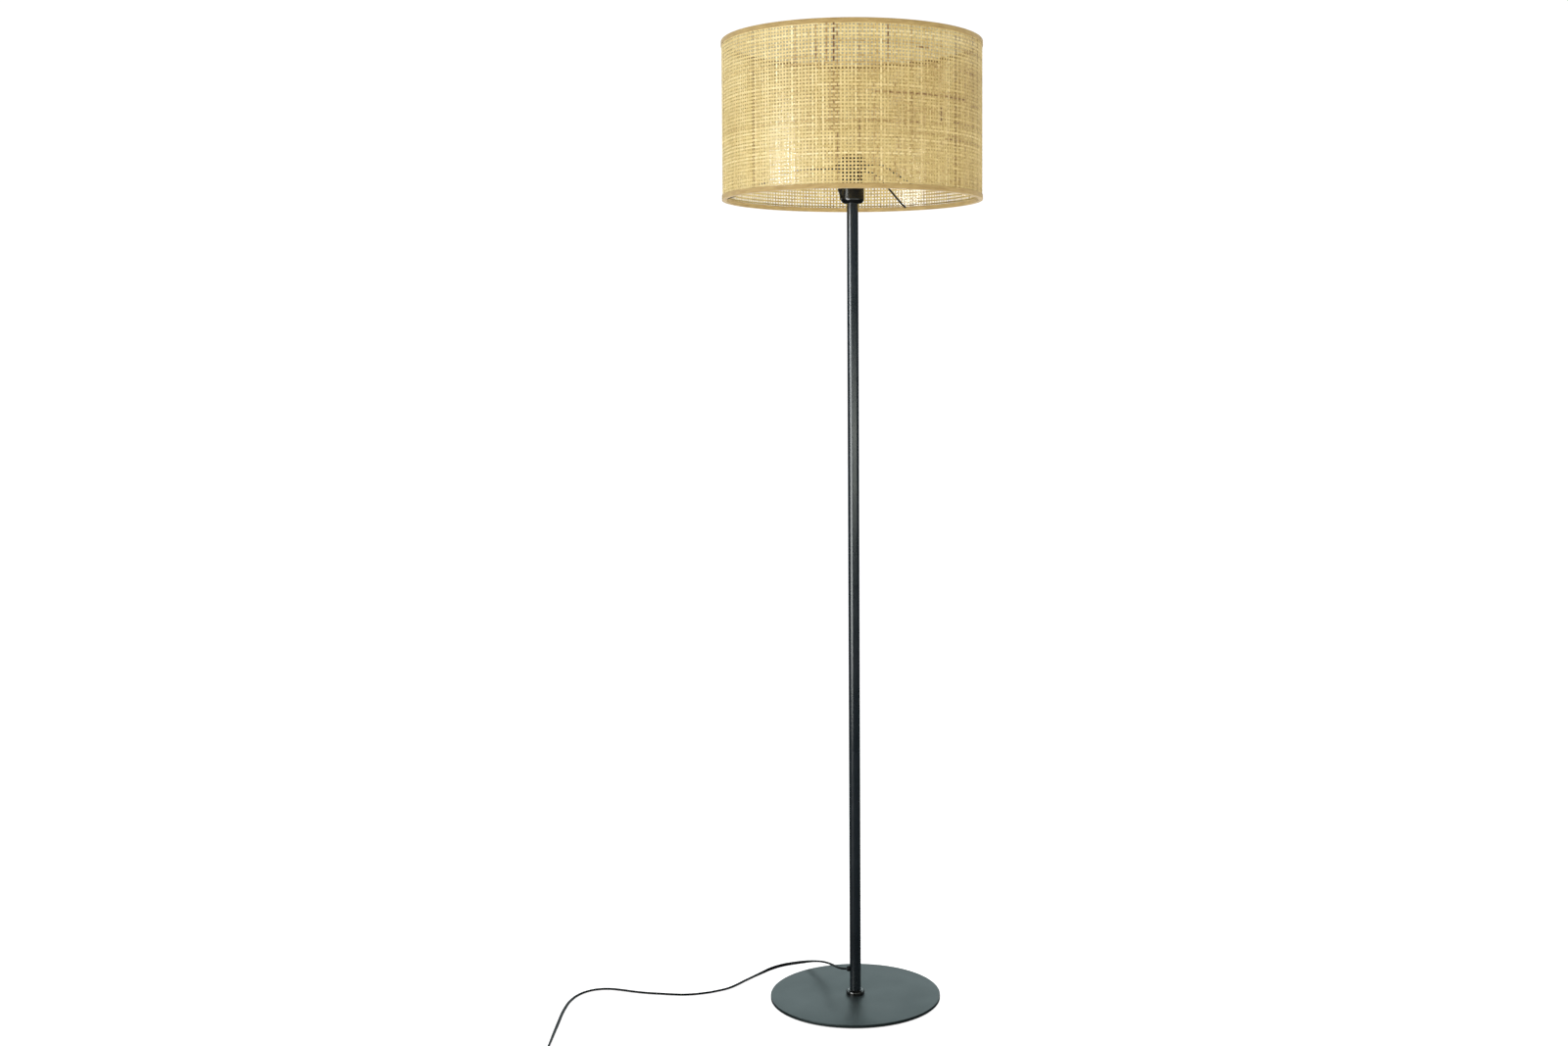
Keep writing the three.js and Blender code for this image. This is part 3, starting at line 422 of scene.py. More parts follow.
def sharpEdges(bm, leastDeg):
    return [edge for edge in bm.edges
            if edge.is_manifold and edge.calc_face_angle() > math.radians(leastDeg)]


def soften(bm, width, segments=2, leastDeg=35):
    bevel(bm, sharpEdges(bm, leastDeg), width, segments)
    return bm


# For a piece that only needs its CAD node's edges softened
def finishCopy(node, name, body, slotName, width, segments=2, leastDeg=35):
    bm = bmesh.new()
    bm.from_mesh(frame["nodes"][node].data)
    bmesh.ops.remove_doubles(bm, verts=bm.verts, dist=1e-6)
    bmesh.ops.dissolve_limit(bm, angle_limit=math.radians(1), verts=bm.verts, edges=bm.edges)
    faceOut(bm)
    return finishPiece(soften(bm, width, segments, leastDeg), name, body, slotName, (node,))


def joinInto(bm, other):
    helper = bpy.data.meshes.new("helper")
    other.to_mesh(helper)
    other.free()
    bm.from_mesh(helper)
    bpy.data.meshes.remove(helper)


# A smooth curve through points in millimetres
def curveThrough(name, points, resolution):
    curve = bpy.data.curves.new(name, "CURVE")
    curve.dimensions = "3D"
    curve.use_fill_caps = True
    curve.resolution_u = resolution
    spline = curve.splines.new("BEZIER")
    spline.bezier_points.add(len(points) - 1)
    for point, knot in zip(points, spline.bezier_points):
        knot.co = point * mm
        knot.handle_left_type = knot.handle_right_type = "AUTO"
    return curve


# The lead goes out of the bush, over the base and the floor, into its tied coil. Lengths in
# the tables of pieces are in millimetres.
lead = {
    "width": 4.9,
    "thickness": 3.0,
    "length": 1.834,
    "exit": (-13.85, 0, 45),
    "route": [
        (-18.75, 0, 45), (-25, 5.5, 44.6), (-31.5, 19, 42.4), (-37.5, 39, 38), (-44.5, 63, 32),
        (-53.5, 86, 26), (-63, 104, 20.4), (-73.7, 119, 15), (-84.5, 130.5, 10), (-96, 138.5, 5.9),
        (-108, 141, 3.3), (-119.5, 137, 2.6), (-130, 129, 2.55), (-140.5, 118.5, 2.5), (-152, 104, 2.1),
        (-165, 87, 1.8), (-178.5, 67.5, 1.8), (-191, 48.5, 1.8), (-203, 34, 1.8), (-219, 23, 1.8),
        (-236, 14.5, 1.8), (-268, 7, 1.8), (-286, 8, 1.8), (-306, 11, 1.8), (-328, 14.5, 1.8),
        (-350, 20.5, 1.8), (-371, 28, 1.8), (-390, 33, 1.8), (-408, 32, 1.8), (-424, 24, 1.8),
        (-437, 8, 1.8), (-445, -14, 1.8), (-449, -44, 1.8), (-449.5, -118, 1.8),
        (-448.2, -196, 2.6),
    ],
    "leanDeg": 70,
    "leanBetween": (-165, -130, -95, -60),
    "rollFrom": 0.86,
    "rollTo": 0.98,
    "coilCentre": (-414, -265, 3.45),
    "coilRadius": 33.725,
    "coilPitch": 3.6,
    "coilLayer": 5.5,
    "coilTurns": 5.25,
    "coilDip": 0.5,
    "stepsPerTurn": 16,
    "tail": 26,
    "tailDrop": 2.1,
    "tailSteps": 4,
    "tieEdge": 0.25,
    "sides": 16,
    "resolution": 5,
}


def smooth(value, low, high):
    share = min(max((value - low) / (high - low), 0), 1)
    return share * share * (3 - 2 * share)


# The coil winds in and out again, climbing and dipping inwards where it turns back
def coilPoints():
    centre = Vector(lead["coilCentre"])
    turns = lead["coilTurns"]
    steps = round(turns * lead["stepsPerTurn"])
    points = []
    for step in range(steps + 1):
        turn = turns * step / steps
        fromReverse = min(abs(turn - turns / 2), 0.5)
        wound = min(turn, turns - turn) + lead["coilDip"] * math.cos(math.pi * fromReverse) ** 2
        climb = smooth(turn - turns / 2, -0.25, 0.25) * lead["coilLayer"]
        angle = math.pi + turn * fullTurn
        radius = lead["coilRadius"] - lead["coilPitch"] * wound
        points.append(centre + Vector((radius * math.cos(angle), radius * math.sin(angle), climb)))
    last = points[-1].copy()
    for step in range(1, lead["tailSteps"] + 1):
        fall = smooth(step, 0, 3) * lead["tailDrop"]
        points.append(last + Vector((lead["tail"] * step / lead["tailSteps"], 0, -fall)))
    return points


def leadSection():
    profile = bpy.data.curves.new("leadProfile", "CURVE")
    outline = profile.splines.new("POLY")
    outline.points.add(lead["sides"] - 1)
    for side, point in enumerate(outline.points):
        angle = fullTurn * side / lead["sides"]
        point.co = (lead["width"] / 2 * mm * math.cos(angle),
                    lead["thickness"] / 2 * mm * math.sin(angle), 0, 1)
    outline.use_cyclic_u = True
    return bpy.data.objects.new("leadProfile", profile)


# The flat lead leans where it comes down off the base, and stands on edge in its coil
def leadTilt(point, share):
    rise, fall = lead["leanBetween"][:2], lead["leanBetween"][2:]
    lean = smooth(point.x, *rise) * (1 - smooth(point.x, *fall)) if point.y > 0 else 0
    roll = smooth(share, lead["rollFrom"], lead["rollTo"])
    return math.radians(90 * roll - lead["leanDeg"] * lean)


def makeLead():
    floorPart = [Vector(lead["exit"])] + [Vector(point) for point in lead["route"]]
    points = floorPart + coilPoints()
    curve = curveThrough("lead", points, lead["resolution"])
    curve.twist_mode = "Z_UP"
    curve.bevel_mode = "OBJECT"
    curve.bevel_object = leadSection()
    lengths = [0]
    for before, point in zip(floorPart, points[1:]):
        lengths.append(lengths[-1] + (point - before).length)
    for place, (point, knot) in enumerate(zip(points, curve.splines[0].bezier_points)):
        knot.tilt = leadTilt(point, lengths[place] / lengths[-1] if place < len(lengths) else 1)
    return linkPiece(curve, "lead", "stand", "lead_sheath", ("cord_run", "cord_coil"))


plug = {
    "end": (-387.7, -298.725, 6.85),
    "reliefStart": 0.3,
    "reliefLength": 22,
    "reliefRadii": (3.2, 4.8),
    "ribs": 5,
    "ribSteps": [(-0.35, 0), (-0.2, -0.7), (0.2, -0.7), (0.35, 0.3)],
    "pin": [(0, 0), (2, 0), (2, 17.6), (1.5, 18.7), (0, 19)],
    "pinStart": 58.9,
    "pinAside": 9.3,
    "reliefEdge": 0.15,
    "pinEdge": 0.25,
    "bodyEdge": 1.1,
}


# The relief thickens towards the plug, with grooves between its ribs
def reliefOutline():
    thin, thick = plug["reliefRadii"]
    bays = plug["ribs"] + 1
    outline = [(0, 0), (thin, 0)]
    for rib in range(1, bays):
        radius = thin + (thick - thin) * (rib - 0.55) / bays
        for step, rise in plug["ribSteps"]:
            outline.append((radius + rise, plug["reliefLength"] * (rib + step) / bays))
    return outline + [(thick, plug["reliefLength"]), (0, plug["reliefLength"])]


def laidAlong(bm, along, aside):
    moved(bm, Vector(plug["end"]) + Vector((along, aside, 0)), 90)


def makePlug():
    relief = soften(turned(reliefOutline(), 48, closed=False), plug["reliefEdge"])
    laidAlong(relief, plug["reliefStart"], 0)
    pieces = [finishPiece(relief, "plugRelief", "stand", "rubber_black", ("plug_relief",))]
    for side, hand in ((1, "left"), (-1, "right")):
        pin = soften(turned(plug["pin"], 40, closed=False), plug["pinEdge"])
        laidAlong(pin, plug["pinStart"], side * plug["pinAside"])
        pieces.append(finishPiece(pin, f"plugPin{hand.title()}", "stand", "plug_nickel",
                                  (f"plug_pin_{hand}",)))
    return pieces + [finishCopy("plug_body", "plugBody", "stand", "gloss_black", plug["bodyEdge"], 3, 20)]


leadPiece = makeLead()
plugPieces = makePlug()
coilTie = finishCopy("coil_tie", "coilTie", "stand", "rubber_black", lead["tieEdge"])
print("lead laid")


base = {
    "plateRadius": 133,
    "plateBottom": 1.2,
    "plateTop": 6.0,
    "plateRound": 1.2,
    "sinkRadius": 7.8,
    "sinkDepth": 3.7,
    "holeRadius": 4.3,
    "bore": 9.05,
    "boreRound": 0.4,
    "collarRadius": 14.5,
    "collarTop": 13.0,
    "collarRound": 4.4,
}


def makeBase():
    low, high, edge = base["plateBottom"], base["plateTop"], base["plateRadius"]
    sink, hole = base["sinkRadius"], base["holeRadius"]
    plate = turned([(sink, low), (edge, low), (edge, high), (hole, high),
                    (hole, low + base["sinkDepth"])], 192)
    finishPiece(soften(plate, base["plateRound"], 4), "basePlate", "stand", "base_paint", ("base_plate",))
    bore, wide, top = base["bore"], base["collarRadius"], base["collarTop"]
    collar = turned([(bore, high), (wide, high), (wide, top), (bore, top)])
    middle = (bore + wide) / 2 * mm
    rim = [edge for edge in sharpEdges(collar, 35)
           if all(abs(vert.co.z - top * mm) < 1e-6 for vert in edge.verts)]
    outer = [edge for edge in rim if edge.verts[0].co.xy.length > middle]
    inner = [edge for edge in rim if edge.verts[0].co.xy.length < middle]
    bevel(collar, outer, base["collarRound"], 6)
    bevel(collar, [edge for edge in inner if edge.is_valid], base["boreRound"], 2)
    finishPiece(collar, "baseCollar", "stand", "gloss_black", ("base_collar",))


makeBase()


pole = {"outer": 8.75, "inner": 7.55, "joints": [6.0, 417.667, 829.333, 1241.0]}


def makePole():
    outer, inner = pole["outer"], pole["inner"]
    for part, low, high in zip(("lower", "middle", "upper"), pole["joints"], pole["joints"][1:]):
        tube = turned([(inner, low), (outer, low), (outer, high), (inner, high)], 72)
        finishPiece(tube, f"pole{part.title()}", "stand", "pole_paint", (f"tube_{part}",))


# The lead's bush lies on its side in the pole's wall
bush = {
    "height": 45,
    "outline": [(2.6, 7.55), (3.3, 7.55), (3.3, 8.85), (4.2, 8.85), (4.2, 10.8), (3.3, 13.55),
                (2.6, 13.55)],
    "edge": 0.3,
}


def makeBush():
    bm = soften(turned(bush["outline"], 48), bush["edge"])
    moved(bm, (0, 0, bush["height"]), -90)
    finishPiece(bm, "cordBush", "stand", "rubber_black", ("cord_grommet",))


makePole()
makeBush()
print("base and pole made")


cap = {
    "bottom": 1241.0,
    "top": 1289.0,
    "outer": 17.75,
    "inner": 15.2,
    "bore": 5.8,
    "floor": 3,
    "round": 6.5,
    "roundSteps": 8,
    "edge": 0.4,
    "spigot": (17.2, 1297.0),
    "window": (12.5, 10.6, 20.8),
    "windowRound": 0.8,
    "pivotRise": 15.0,
}


def cutWith(piece, cutter):
    hole = bpy.data.objects.new("cutter", bpy.data.meshes.new("cutter"))
    cutter.to_mesh(hole.data)
    cutter.free()
    collection.objects.link(hole)
    boolean = piece.modifiers.new("window", "BOOLEAN")
    boolean.object = hole
    boolean.operation = "DIFFERENCE"
    boolean.solver = "EXACT"
    shown = piece.evaluated_get(bpy.context.evaluated_depsgraph_get())
    mesh = bpy.data.meshes.new_from_object(shown)
    piece.modifiers.clear()
    piece.data = mesh
    bpy.data.objects.remove(hole)
    mesh.set_sharp_from_angle(angle=math.radians(30))


def makeCap():
    low, high, outer, inner = cap["bottom"], cap["top"], cap["outer"], cap["inner"]
    spigotRadius, spigotTop = cap["spigot"]
    outline = [(cap["bore"], low)]
    for step in range(cap["roundSteps"] + 1):
        angle = math.radians(-90 + 90 * step / cap["roundSteps"])
        outline.append((outer - cap["round"] * (1 - math.cos(angle)),
                        low + cap["round"] * (1 + math.sin(angle))))
    outline += [
        (outer, high - cap["edge"]), (outer - cap["edge"], high), (spigotRadius, high),
        (spigotRadius, spigotTop), (inner, spigotTop), (inner, low + cap["floor"]),
        (cap["bore"], low + cap["floor"])]
    piece = finishPiece(turned(outline, 112), "holderCap", "stand", "gloss_black", ("holder_cap",))
    window = bmesh.new()
    bmesh.ops.create_cube(window, size=1)
    bmesh.ops.scale(window, verts=window.verts, vec=Vector(cap["window"]) * mm)
    bevel(window, window.edges[:], cap["windowRound"], 3)
    moved(window, (-outer, 0, low + cap["pivotRise"]))
    cutWith(piece, window)


skirt = {
    "bottom": 1289.3,
    "bore": 17.5,
    "flange": (23.0, 3.0),
    "root": 19.2,
    "wallTop": 20.5,
    "lip": (14.2, 16.4),
    "lipHeights": (22, 23.5, 25),
    "edge": 0.35,
    "crest": 20.0,
    "pitch": 2.6,
    "turns": 5.6,
    "stepsPerTurn": 72,
    "ridgeStart": 1.0,
    "ridgeSink": 0.2,
    "ridgeShares": (0.36, 0.5, 0.86),
}


# The skirt's thread is one ridge, wound up its wall
def makeSkirt():
    low, root, crest, pitch = skirt["bottom"], skirt["root"], skirt["crest"], skirt["pitch"]
    flangeRadius, flangeHeight = skirt["flange"]
    lipInner, lipOuter = skirt["lip"]
    lipBottom, lipStart, lipTop = skirt["lipHeights"]
    bm = turned([(radius, low + height) for radius, height in (
        (skirt["bore"], 0), (flangeRadius, 0), (flangeRadius, flangeHeight), (root, flangeHeight),
        (root, skirt["wallTop"]), (lipOuter, lipStart), (lipOuter, lipTop), (lipInner, lipTop),
        (lipInner, lipBottom), (skirt["bore"], lipBottom))], 112)
    soften(bm, skirt["edge"])
    ridge = bmesh.new()
    sunk, start = root - skirt["ridgeSink"], low + flangeHeight + skirt["ridgeStart"]
    crestStart, crestEnd, end = skirt["ridgeShares"]
    section = [(sunk, 0), (crest, crestStart), (crest, crestEnd), (sunk, end)]
    face = ridge.faces.new([ridge.verts.new((radius * mm, 0, (start + pitch * share) * mm))
                            for radius, share in section])
    steps = round(skirt["turns"] * skirt["stepsPerTurn"])
    spin(ridge, [face], skirt["turns"] * fullTurn, steps,
         dvec=(0, 0, pitch * skirt["turns"] / steps * mm))
    faceOut(ridge)
    joinInto(bm, ridge)
    finishPiece(bm, "holderSkirt", "stand", "gloss_black", ("holder_skirt",))


shell = {
    "middle": 13.25,
    "wave": 0.35,
    "wall": 0.4,
    "thickness": 0.36,
    "pitch": 3.63,
    "turns": 6,
    "stepsPerTurn": 72,
    "stepsPerWave": 10,
    "bottom": 1277.1,
    "cutBelow": 0.4,
    "cutAbove": 0.3,
    "flangeRadii": (8.75, 13.0),
    "flangeHeights": (1276.3, 1276.75),
}


# One wave of the brass shell, wound upwards, so that its rounds are a true screw
def makeShell():
    bottom, pitch, turns, steps = shell["bottom"], shell["pitch"], shell["turns"], shell["stepsPerWave"]
    bm = bmesh.new()
    wave = []
    for step in range(steps + 1):
        swell = shell["wave"] * math.cos(fullTurn * step / steps)
        wave.append((shell["middle"] - shell["wall"] / 2 - swell, bottom + pitch * (step / steps - 0.5)))
    spin(bm, profileOf(bm, wave, closed=False), fullTurn * turns, shell["stepsPerTurn"] * turns,
         dvec=(0, 0, pitch / shell["stepsPerTurn"] * mm))
    bmesh.ops.remove_doubles(bm, verts=bm.verts, dist=2e-5)
    top = bottom + pitch * turns
    for level, side in ((bottom - shell["cutBelow"], 1), (top - shell["cutAbove"], -1)):
        bmesh.ops.bisect_plane(bm, geom=bm.verts[:] + bm.edges[:] + bm.faces[:], clear_inner=True,
                               plane_co=(0, 0, level * mm), plane_no=(0, 0, side))
    faceOut(bm)
    bmesh.ops.solidify(bm, geom=bm.faces[:], thickness=shell["thickness"] * mm)
    faceOut(bm)
    (inner, outer), (low, high) = shell["flangeRadii"], shell["flangeHeights"]
    joinInto(bm, turned([(inner, low), (outer, low), (outer, high), (inner, high)], 72))
    finishPiece(bm, "screwShell", "stand", "contact_brass", ("screw_shell",), 50)


moving = {"rockerEdge": 0.45, "ringEdge": 0.35, "ringLeastDeg": 40}

makeCap()
makeSkirt()
makeShell()
finishCopy("rocker", "rockerSwitch", "switch", "gloss_black", moving["rockerEdge"])
finishCopy("shade_ring", "retainingRing", "ring", "gloss_black", moving["ringEdge"],
           leastDeg=moving["ringLeastDeg"])
print("lampholder made")


# The shade frame is a hub, three arms and two ring wires
spider = {
    "hubRadius": 22.2,
    "wire": 3.0,
    "ringWire": 2.8,
    "ringSides": 14,
    "ringRadius": 195.6,
    "ringHeights": {"bottom": 1247.2, "top": 1482.8},
    "level": 1294.1,
    "foot": 1250.4,
    "bendRadius": 83,
    "bendRound": 9,
    "heelRadius": 191.6,
    "bearings": [178, 63.5, -62],
    "resolution": 6,
    "roundness": 4,
}


def makeRing(name, radius, height, wireWidth, steps, node):
    bm = bmesh.new()
    bmesh.ops.create_circle(bm, segments=spider["ringSides"], radius=wireWidth / 2 * mm)
    moved(bm, (radius, 0, height), 90, "X")
    spin(bm, bm.verts[:] + bm.edges[:], fullTurn, steps, use_merge=True)
    faceOut(bm)
    finishPiece(bm, name, "shade", "frame_paint", (node,), 60)


# The arm is bent wire: a level run, a slope down to the ring, and a short level foot
def makeArm(place, bearingDeg):
    level, foot = spider["level"], spider["foot"]
    bend, heel, bow = spider["bendRadius"], spider["heelRadius"], spider["bendRound"]
    slope = Vector((heel - bend, foot - level)).normalized() * bow
    path = [
        (spider["hubRadius"], level), (bend - bow * 2, level), (bend - bow, level),
        (bend + slope.x, level + slope.y), ((bend + heel) / 2, (level + foot) / 2),
        (heel - slope.x, foot - slope.y), ((heel + spider["ringRadius"]) / 2, foot),
        (spider["ringRadius"], foot)]
    bearing = math.radians(bearingDeg)
    points = [Vector((radius * math.cos(bearing), radius * math.sin(bearing), height))
              for radius, height in path]
    curve = curveThrough(f"hubArm{place}", points, spider["resolution"])
    curve.bevel_depth = spider["wire"] / 2 * mm
    curve.bevel_resolution = spider["roundness"]
    linkPiece(curve, f"hubArm{place}", "shade", "frame_paint", (f"hub_arm_{place}",))


makeRing("hubRing", spider["hubRadius"], spider["level"], spider["wire"], 72, "hub_ring")
for end, height in spider["ringHeights"].items():
    makeRing(f"{end}RingWire", spider["ringRadius"], height, spider["ringWire"], 180, f"{end}_wire")
for place, bearingDeg in enumerate(spider["bearings"], 1):
    makeArm(place, bearingDeg)
print("shade frame made")


# A tone is picked by chance: each row of tones is a share so far and the lowest and highest
# tone for it. The shifts of the strips' UV maps are in metres.
weave = {
    "radius": 198.6,
    "bottom": 1246.2,
    "top": 1483.8,
    "stakes": 240,
    "stakeCuts": 11,
    "stakeWaver": 9,
    "stakeAside": 0.3,
    "darkBelow": 0.35,
    "darkWidth": 0.75,
    "hoops": 46,
    "firstHoop": 1249.0,
    "hoopPitch": 5.09,
    "hoopWaver": 3,
    "hoopJoins": (2, 4),
    "stripWidth": 2.5,
    "stripThickness": 0.34,
    "bow": 0.43,
    "widthSpread": 0.16,
    "wander": 0.35,
    # Painted light and shade: strips towards the left (-x) are toned paler and those towards the right
    # darker, as on a shade lit from the left
    "paintedSideLight": 0.07,
    "tones": [(0.015, 0.26, 0.34), (0.16, 0.38, 0.48), (0.92, 0.5, 0.64), (1, 0.66, 0.76)],
    "stakeShift": (0.37, 0.011),
    "hoopShift": 1.7,
    "seed": 7,
}

# Darker lengths that stand out in the cover. A stake's are told by its bearing from the
# front and from which height to which; a hoop's by its height and between which bearings.
darkLengths = {
    "stakes": [(-15.6, 1420, 1484, 0.24), (-10.4, 1420, 1484, 0.2), (-7.3, 1420, 1484, 0.14),
               (-7.3, 1318, 1420, 0.3), (-8.8, 1318, 1420, 0.36), (-23.5, 1420, 1484, 0.3),
               (14.7, 1425, 1480, 0.24), (40.9, 1342, 1366, 0.16)],
    "stakeReach": 0.75,
    "hoops": [(1380, 8, 56, 0.26), (1447, 28, 34, 0.2), (1319, 42, 75, 0.28), (1346, 48, 78, 0.28)],
}


def stakeToneAt(tone, bearing, height):
    for near, low, high, dark in darkLengths["stakes"]:
        if abs((bearing - near + 180) % 360 - 180) < darkLengths["stakeReach"] and low < height < high:
            return dark
    return tone


def hoopToneAt(tone, bearing, height):
    for level, low, high, dark in darkLengths["hoops"]:
        if abs(height - level) < weave["hoopPitch"] / 2 and low < bearing < high:
            tone = dark
    return tone


def pickTone(rng):
    pick = rng.random()
    low, high = next(tones for share, *tones in weave["tones"] if pick < share)
    return rng.uniform(low, high)


def widened(rng):
    return 1 + rng.uniform(-1, 1) * weave["widthSpread"]


# Upright strips. Each starts as one bar, spun round the axis, and is then nudged and toned.
def makeStakes():
    rng = random.Random(weave["seed"])
    bm = bmesh.new()
    bmesh.ops.create_cube(bm, size=1)
    height = weave["top"] - weave["bottom"]
    size = Vector((weave["stripThickness"], weave["stripWidth"], height))
    bmesh.ops.scale(bm, verts=bm.verts, vec=size * mm)
    moved(bm, (weave["radius"], 0, weave["bottom"] + height / 2))
    upright = [edge for edge in bm.edges if abs(edge.verts[0].co.z - edge.verts[1].co.z) > 0.1]
    bmesh.ops.subdivide_edges(bm, edges=upright, cuts=weave["stakeCuts"])
    count = weave["stakes"]
    perStake = len(bm.verts)
    spin(bm, bm.verts[:] + bm.edges[:] + bm.faces[:], fullTurn * (count - 1) / count, count - 1,
         use_duplicate=True)
    faceOut(bm)
    bm.verts.ensure_lookup_table()
    tone = bm.faces.layers.float.new("tone")
    uv = bm.loops.layers.uv.new("strip")
    for stake in range(count):
        verts = bm.verts[stake * perStake:(stake + 1) * perStake]
        middle = sum((vert.co for vert in verts), Vector()) / perStake
        out = Vector((middle.x, middle.y, 0)).normalized()
        across = Vector((-out.y, out.x, 0))
        bearing = math.degrees(math.atan2(out.x, -out.y))
        # The stake's tone gets the painted side light: paler on the left, darker on the right
        stakeTone = pickTone(rng) - weave["paintedSideLight"] * out.x
        widen = widened(rng) * (weave["darkWidth"] if stakeTone < weave["darkBelow"] else 1)
        aside = rng.uniform(-1, 1) * weave["stakeAside"]
        phase = rng.uniform(0, 50)
        apart = Vector(weave["stakeShift"]) * stake
        for vert in verts:
            side = (vert.co - middle).dot(across)
            drift = noise.noise((vert.co.z * weave["stakeWaver"], phase, 0)) * weave["wander"] + aside
            vert.co += across * (side * (widen - 1) + drift * mm)
        for face in {face for vert in verts for face in vert.link_faces}:
            face[tone] = stakeToneAt(stakeTone, bearing, face.calc_center_median().z / mm)
            for loop in face.loops:
                side = (loop.vert.co - middle).dot(across)
                loop[uv].uv = apart + Vector((loop.vert.co.z, side))
    finishPiece(bm, "weaveStakes", "shade", "rattan_weave", ("shade_weave",))


# Level strips. One hoop is spun, copied up the shade, and bent over and under the stakes.
def makeHoops():
    rng = random.Random(weave["seed"] + 1)
    half, wide = weave["stripThickness"] / 2, weave["stripWidth"] / 2
    radius, first = weave["radius"], weave["firstHoop"]
    bm = bmesh.new()
    section = profileOf(bm, [(radius - half, first - wide), (radius + half, first - wide),
                             (radius + half, first + wide), (radius - half, first + wide)])
    steps = weave["stakes"] * 2
    spin(bm, section, fullTurn, steps, use_merge=True)
    faceOut(bm)
    hoop = bm.verts[:] + bm.edges[:] + bm.faces[:]
    perHoop = len(bm.verts)
    count, pitch = weave["hoops"], weave["hoopPitch"]
    for row in range(1, count):
        made = bmesh.ops.duplicate(bm, geom=hoop)["geom"]
        copied = [item for item in made if isinstance(item, bmesh.types.BMVert)]
        bmesh.ops.translate(bm, verts=copied, vec=(0, 0, pitch * row * mm))
    bm.verts.ensure_lookup_table()
    tone = bm.faces.layers.float.new("tone")
    uv = bm.loops.layers.uv.new("strip")
    for row in range(count):
        verts = bm.verts[row * perHoop:(row + 1) * perHoop]
        height = (first + pitch * row) * mm
        widen = widened(rng)
        joins = sorted(rng.uniform(0, fullTurn) for _ in range(rng.randint(*weave["hoopJoins"])))
        tones = [pickTone(rng) for _ in joins]
        phase = rng.uniform(0, 50)
        for vert in verts:
            angle = math.atan2(vert.co.y, vert.co.x) % fullTurn
            step = round(angle / fullTurn * steps) % steps
            out = Vector((math.cos(angle), math.sin(angle), 0))
            bow = 0 if step % 2 else (1 if (step // 2 + row) % 2 else -1)
            side = vert.co.z - height
            drift = noise.noise((*(out.xy * weave["hoopWaver"]), phase)) * weave["wander"]
            vert.co += out * (bow * weave["bow"] * mm) + Vector((0, 0, side * (widen - 1) + drift * mm))
        for face in {face for vert in verts for face in vert.link_faces}:
            middle = face.calc_center_median()
            angle = math.atan2(middle.y, middle.x) % fullTurn
            bearing = math.degrees(math.atan2(middle.x, -middle.y))
            own = tones[sum(1 for join in joins if join < angle) % len(joins)]
            # The hoop's tone gets the painted side light: paler on the left, darker on the right
            face[tone] = hoopToneAt(own - weave["paintedSideLight"] * math.cos(angle), bearing, height / mm)
            for loop in face.loops:
                turn = math.atan2(loop.vert.co.y, loop.vert.co.x) % fullTurn
                turn += fullTurn * round((angle - turn) / fullTurn)
                loop[uv].uv = (turn * radius * mm + row * weave["hoopShift"], loop.vert.co.z)
    finishPiece(bm, "weaveHoops", "shade", "rattan_weave")


tape = {
    "outer": 200.0,
    "wall": 0.5,
    "height": 7.0,
    "lipOuter": 193.9,
    "lipHeight": 6.6,
    "bottom": 1245.0,
    "top": 1485.0,
    "round": 0.45,
    # How far the top tape's inner lip is darkened by painted shade
    "paintedLipShade": 0.8,
    "rippleScale": (9, 9, 40),
    "ripple": 0.25,
}


# The tape is folded over the weave's edge: a tall outer band and a short inner lip
def makeTape(name, upside, node):
    thick, outer, lip = tape["wall"], tape["outer"], tape["lipOuter"]
    section = [
        (lip - thick, 0), (outer, 0), (outer, tape["height"]), (outer - thick, tape["height"]),
        (outer - thick, thick), (lip, thick), (lip, tape["lipHeight"]), (lip - thick, tape["lipHeight"])]
    start = tape["top"] if upside else tape["bottom"]
    sign = -1 if upside else 1
    bm = turned([(radius, start + sign * height) for radius, height in section], 240)
    rounded = [edge for edge in sharpEdges(bm, 35)
               if all(abs(vert.co.z - start * mm) < 1e-6 and vert.co.xy.length > (outer - thick) * mm
                      for vert in edge.verts)]
    bevel(bm, rounded, tape["round"], 3)
    uv = bm.loops.layers.uv.new("cloth")
    paintedLipShade = bm.faces.layers.float.new("paintedLipShade")
    for face in bm.faces:
        middle = face.calc_center_median()
        # Painted shade: the top tape's inner lip faces are marked to be darkened, as a lip that lies in
        # shade
        face[paintedLipShade] = tape["paintedLipShade"] if upside and middle.xy.length < (lip + thick) * mm else 0
        centre = math.atan2(middle.y, middle.x)
        for loop in face.loops:
            turn = math.atan2(loop.vert.co.y, loop.vert.co.x)
            turn += fullTurn * round((centre - turn) / fullTurn)
            loop[uv].uv = (turn * outer * mm, loop.vert.co.z + loop.vert.co.xy.length)
    for vert in bm.verts:
        if vert.co.xy.length > (outer - thick * 2) * mm and abs(vert.co.z - start * mm) >= 1e-4:
            place = Vector((*vert.co.xy.normalized(), vert.co.z)) * Vector(tape["rippleScale"])
            vert.co.z += noise.noise(place) * tape["ripple"] * mm
    finishPiece(bm, name, "shade", "edge_tape", (node,), 50)


film = {
    "outer": 197.7,
    "inner": 197.3,
    "seamInner": 196.9,
    "bottom": 1245.8,
    "top": 1484.2,
    "seamBottom": 1249.4,
    "seamTop": 1480.6,
    "seamBearing": 62.3,
    "seamWidth": 14,
    "steps": 236,
    "seamSteps": 4,
}


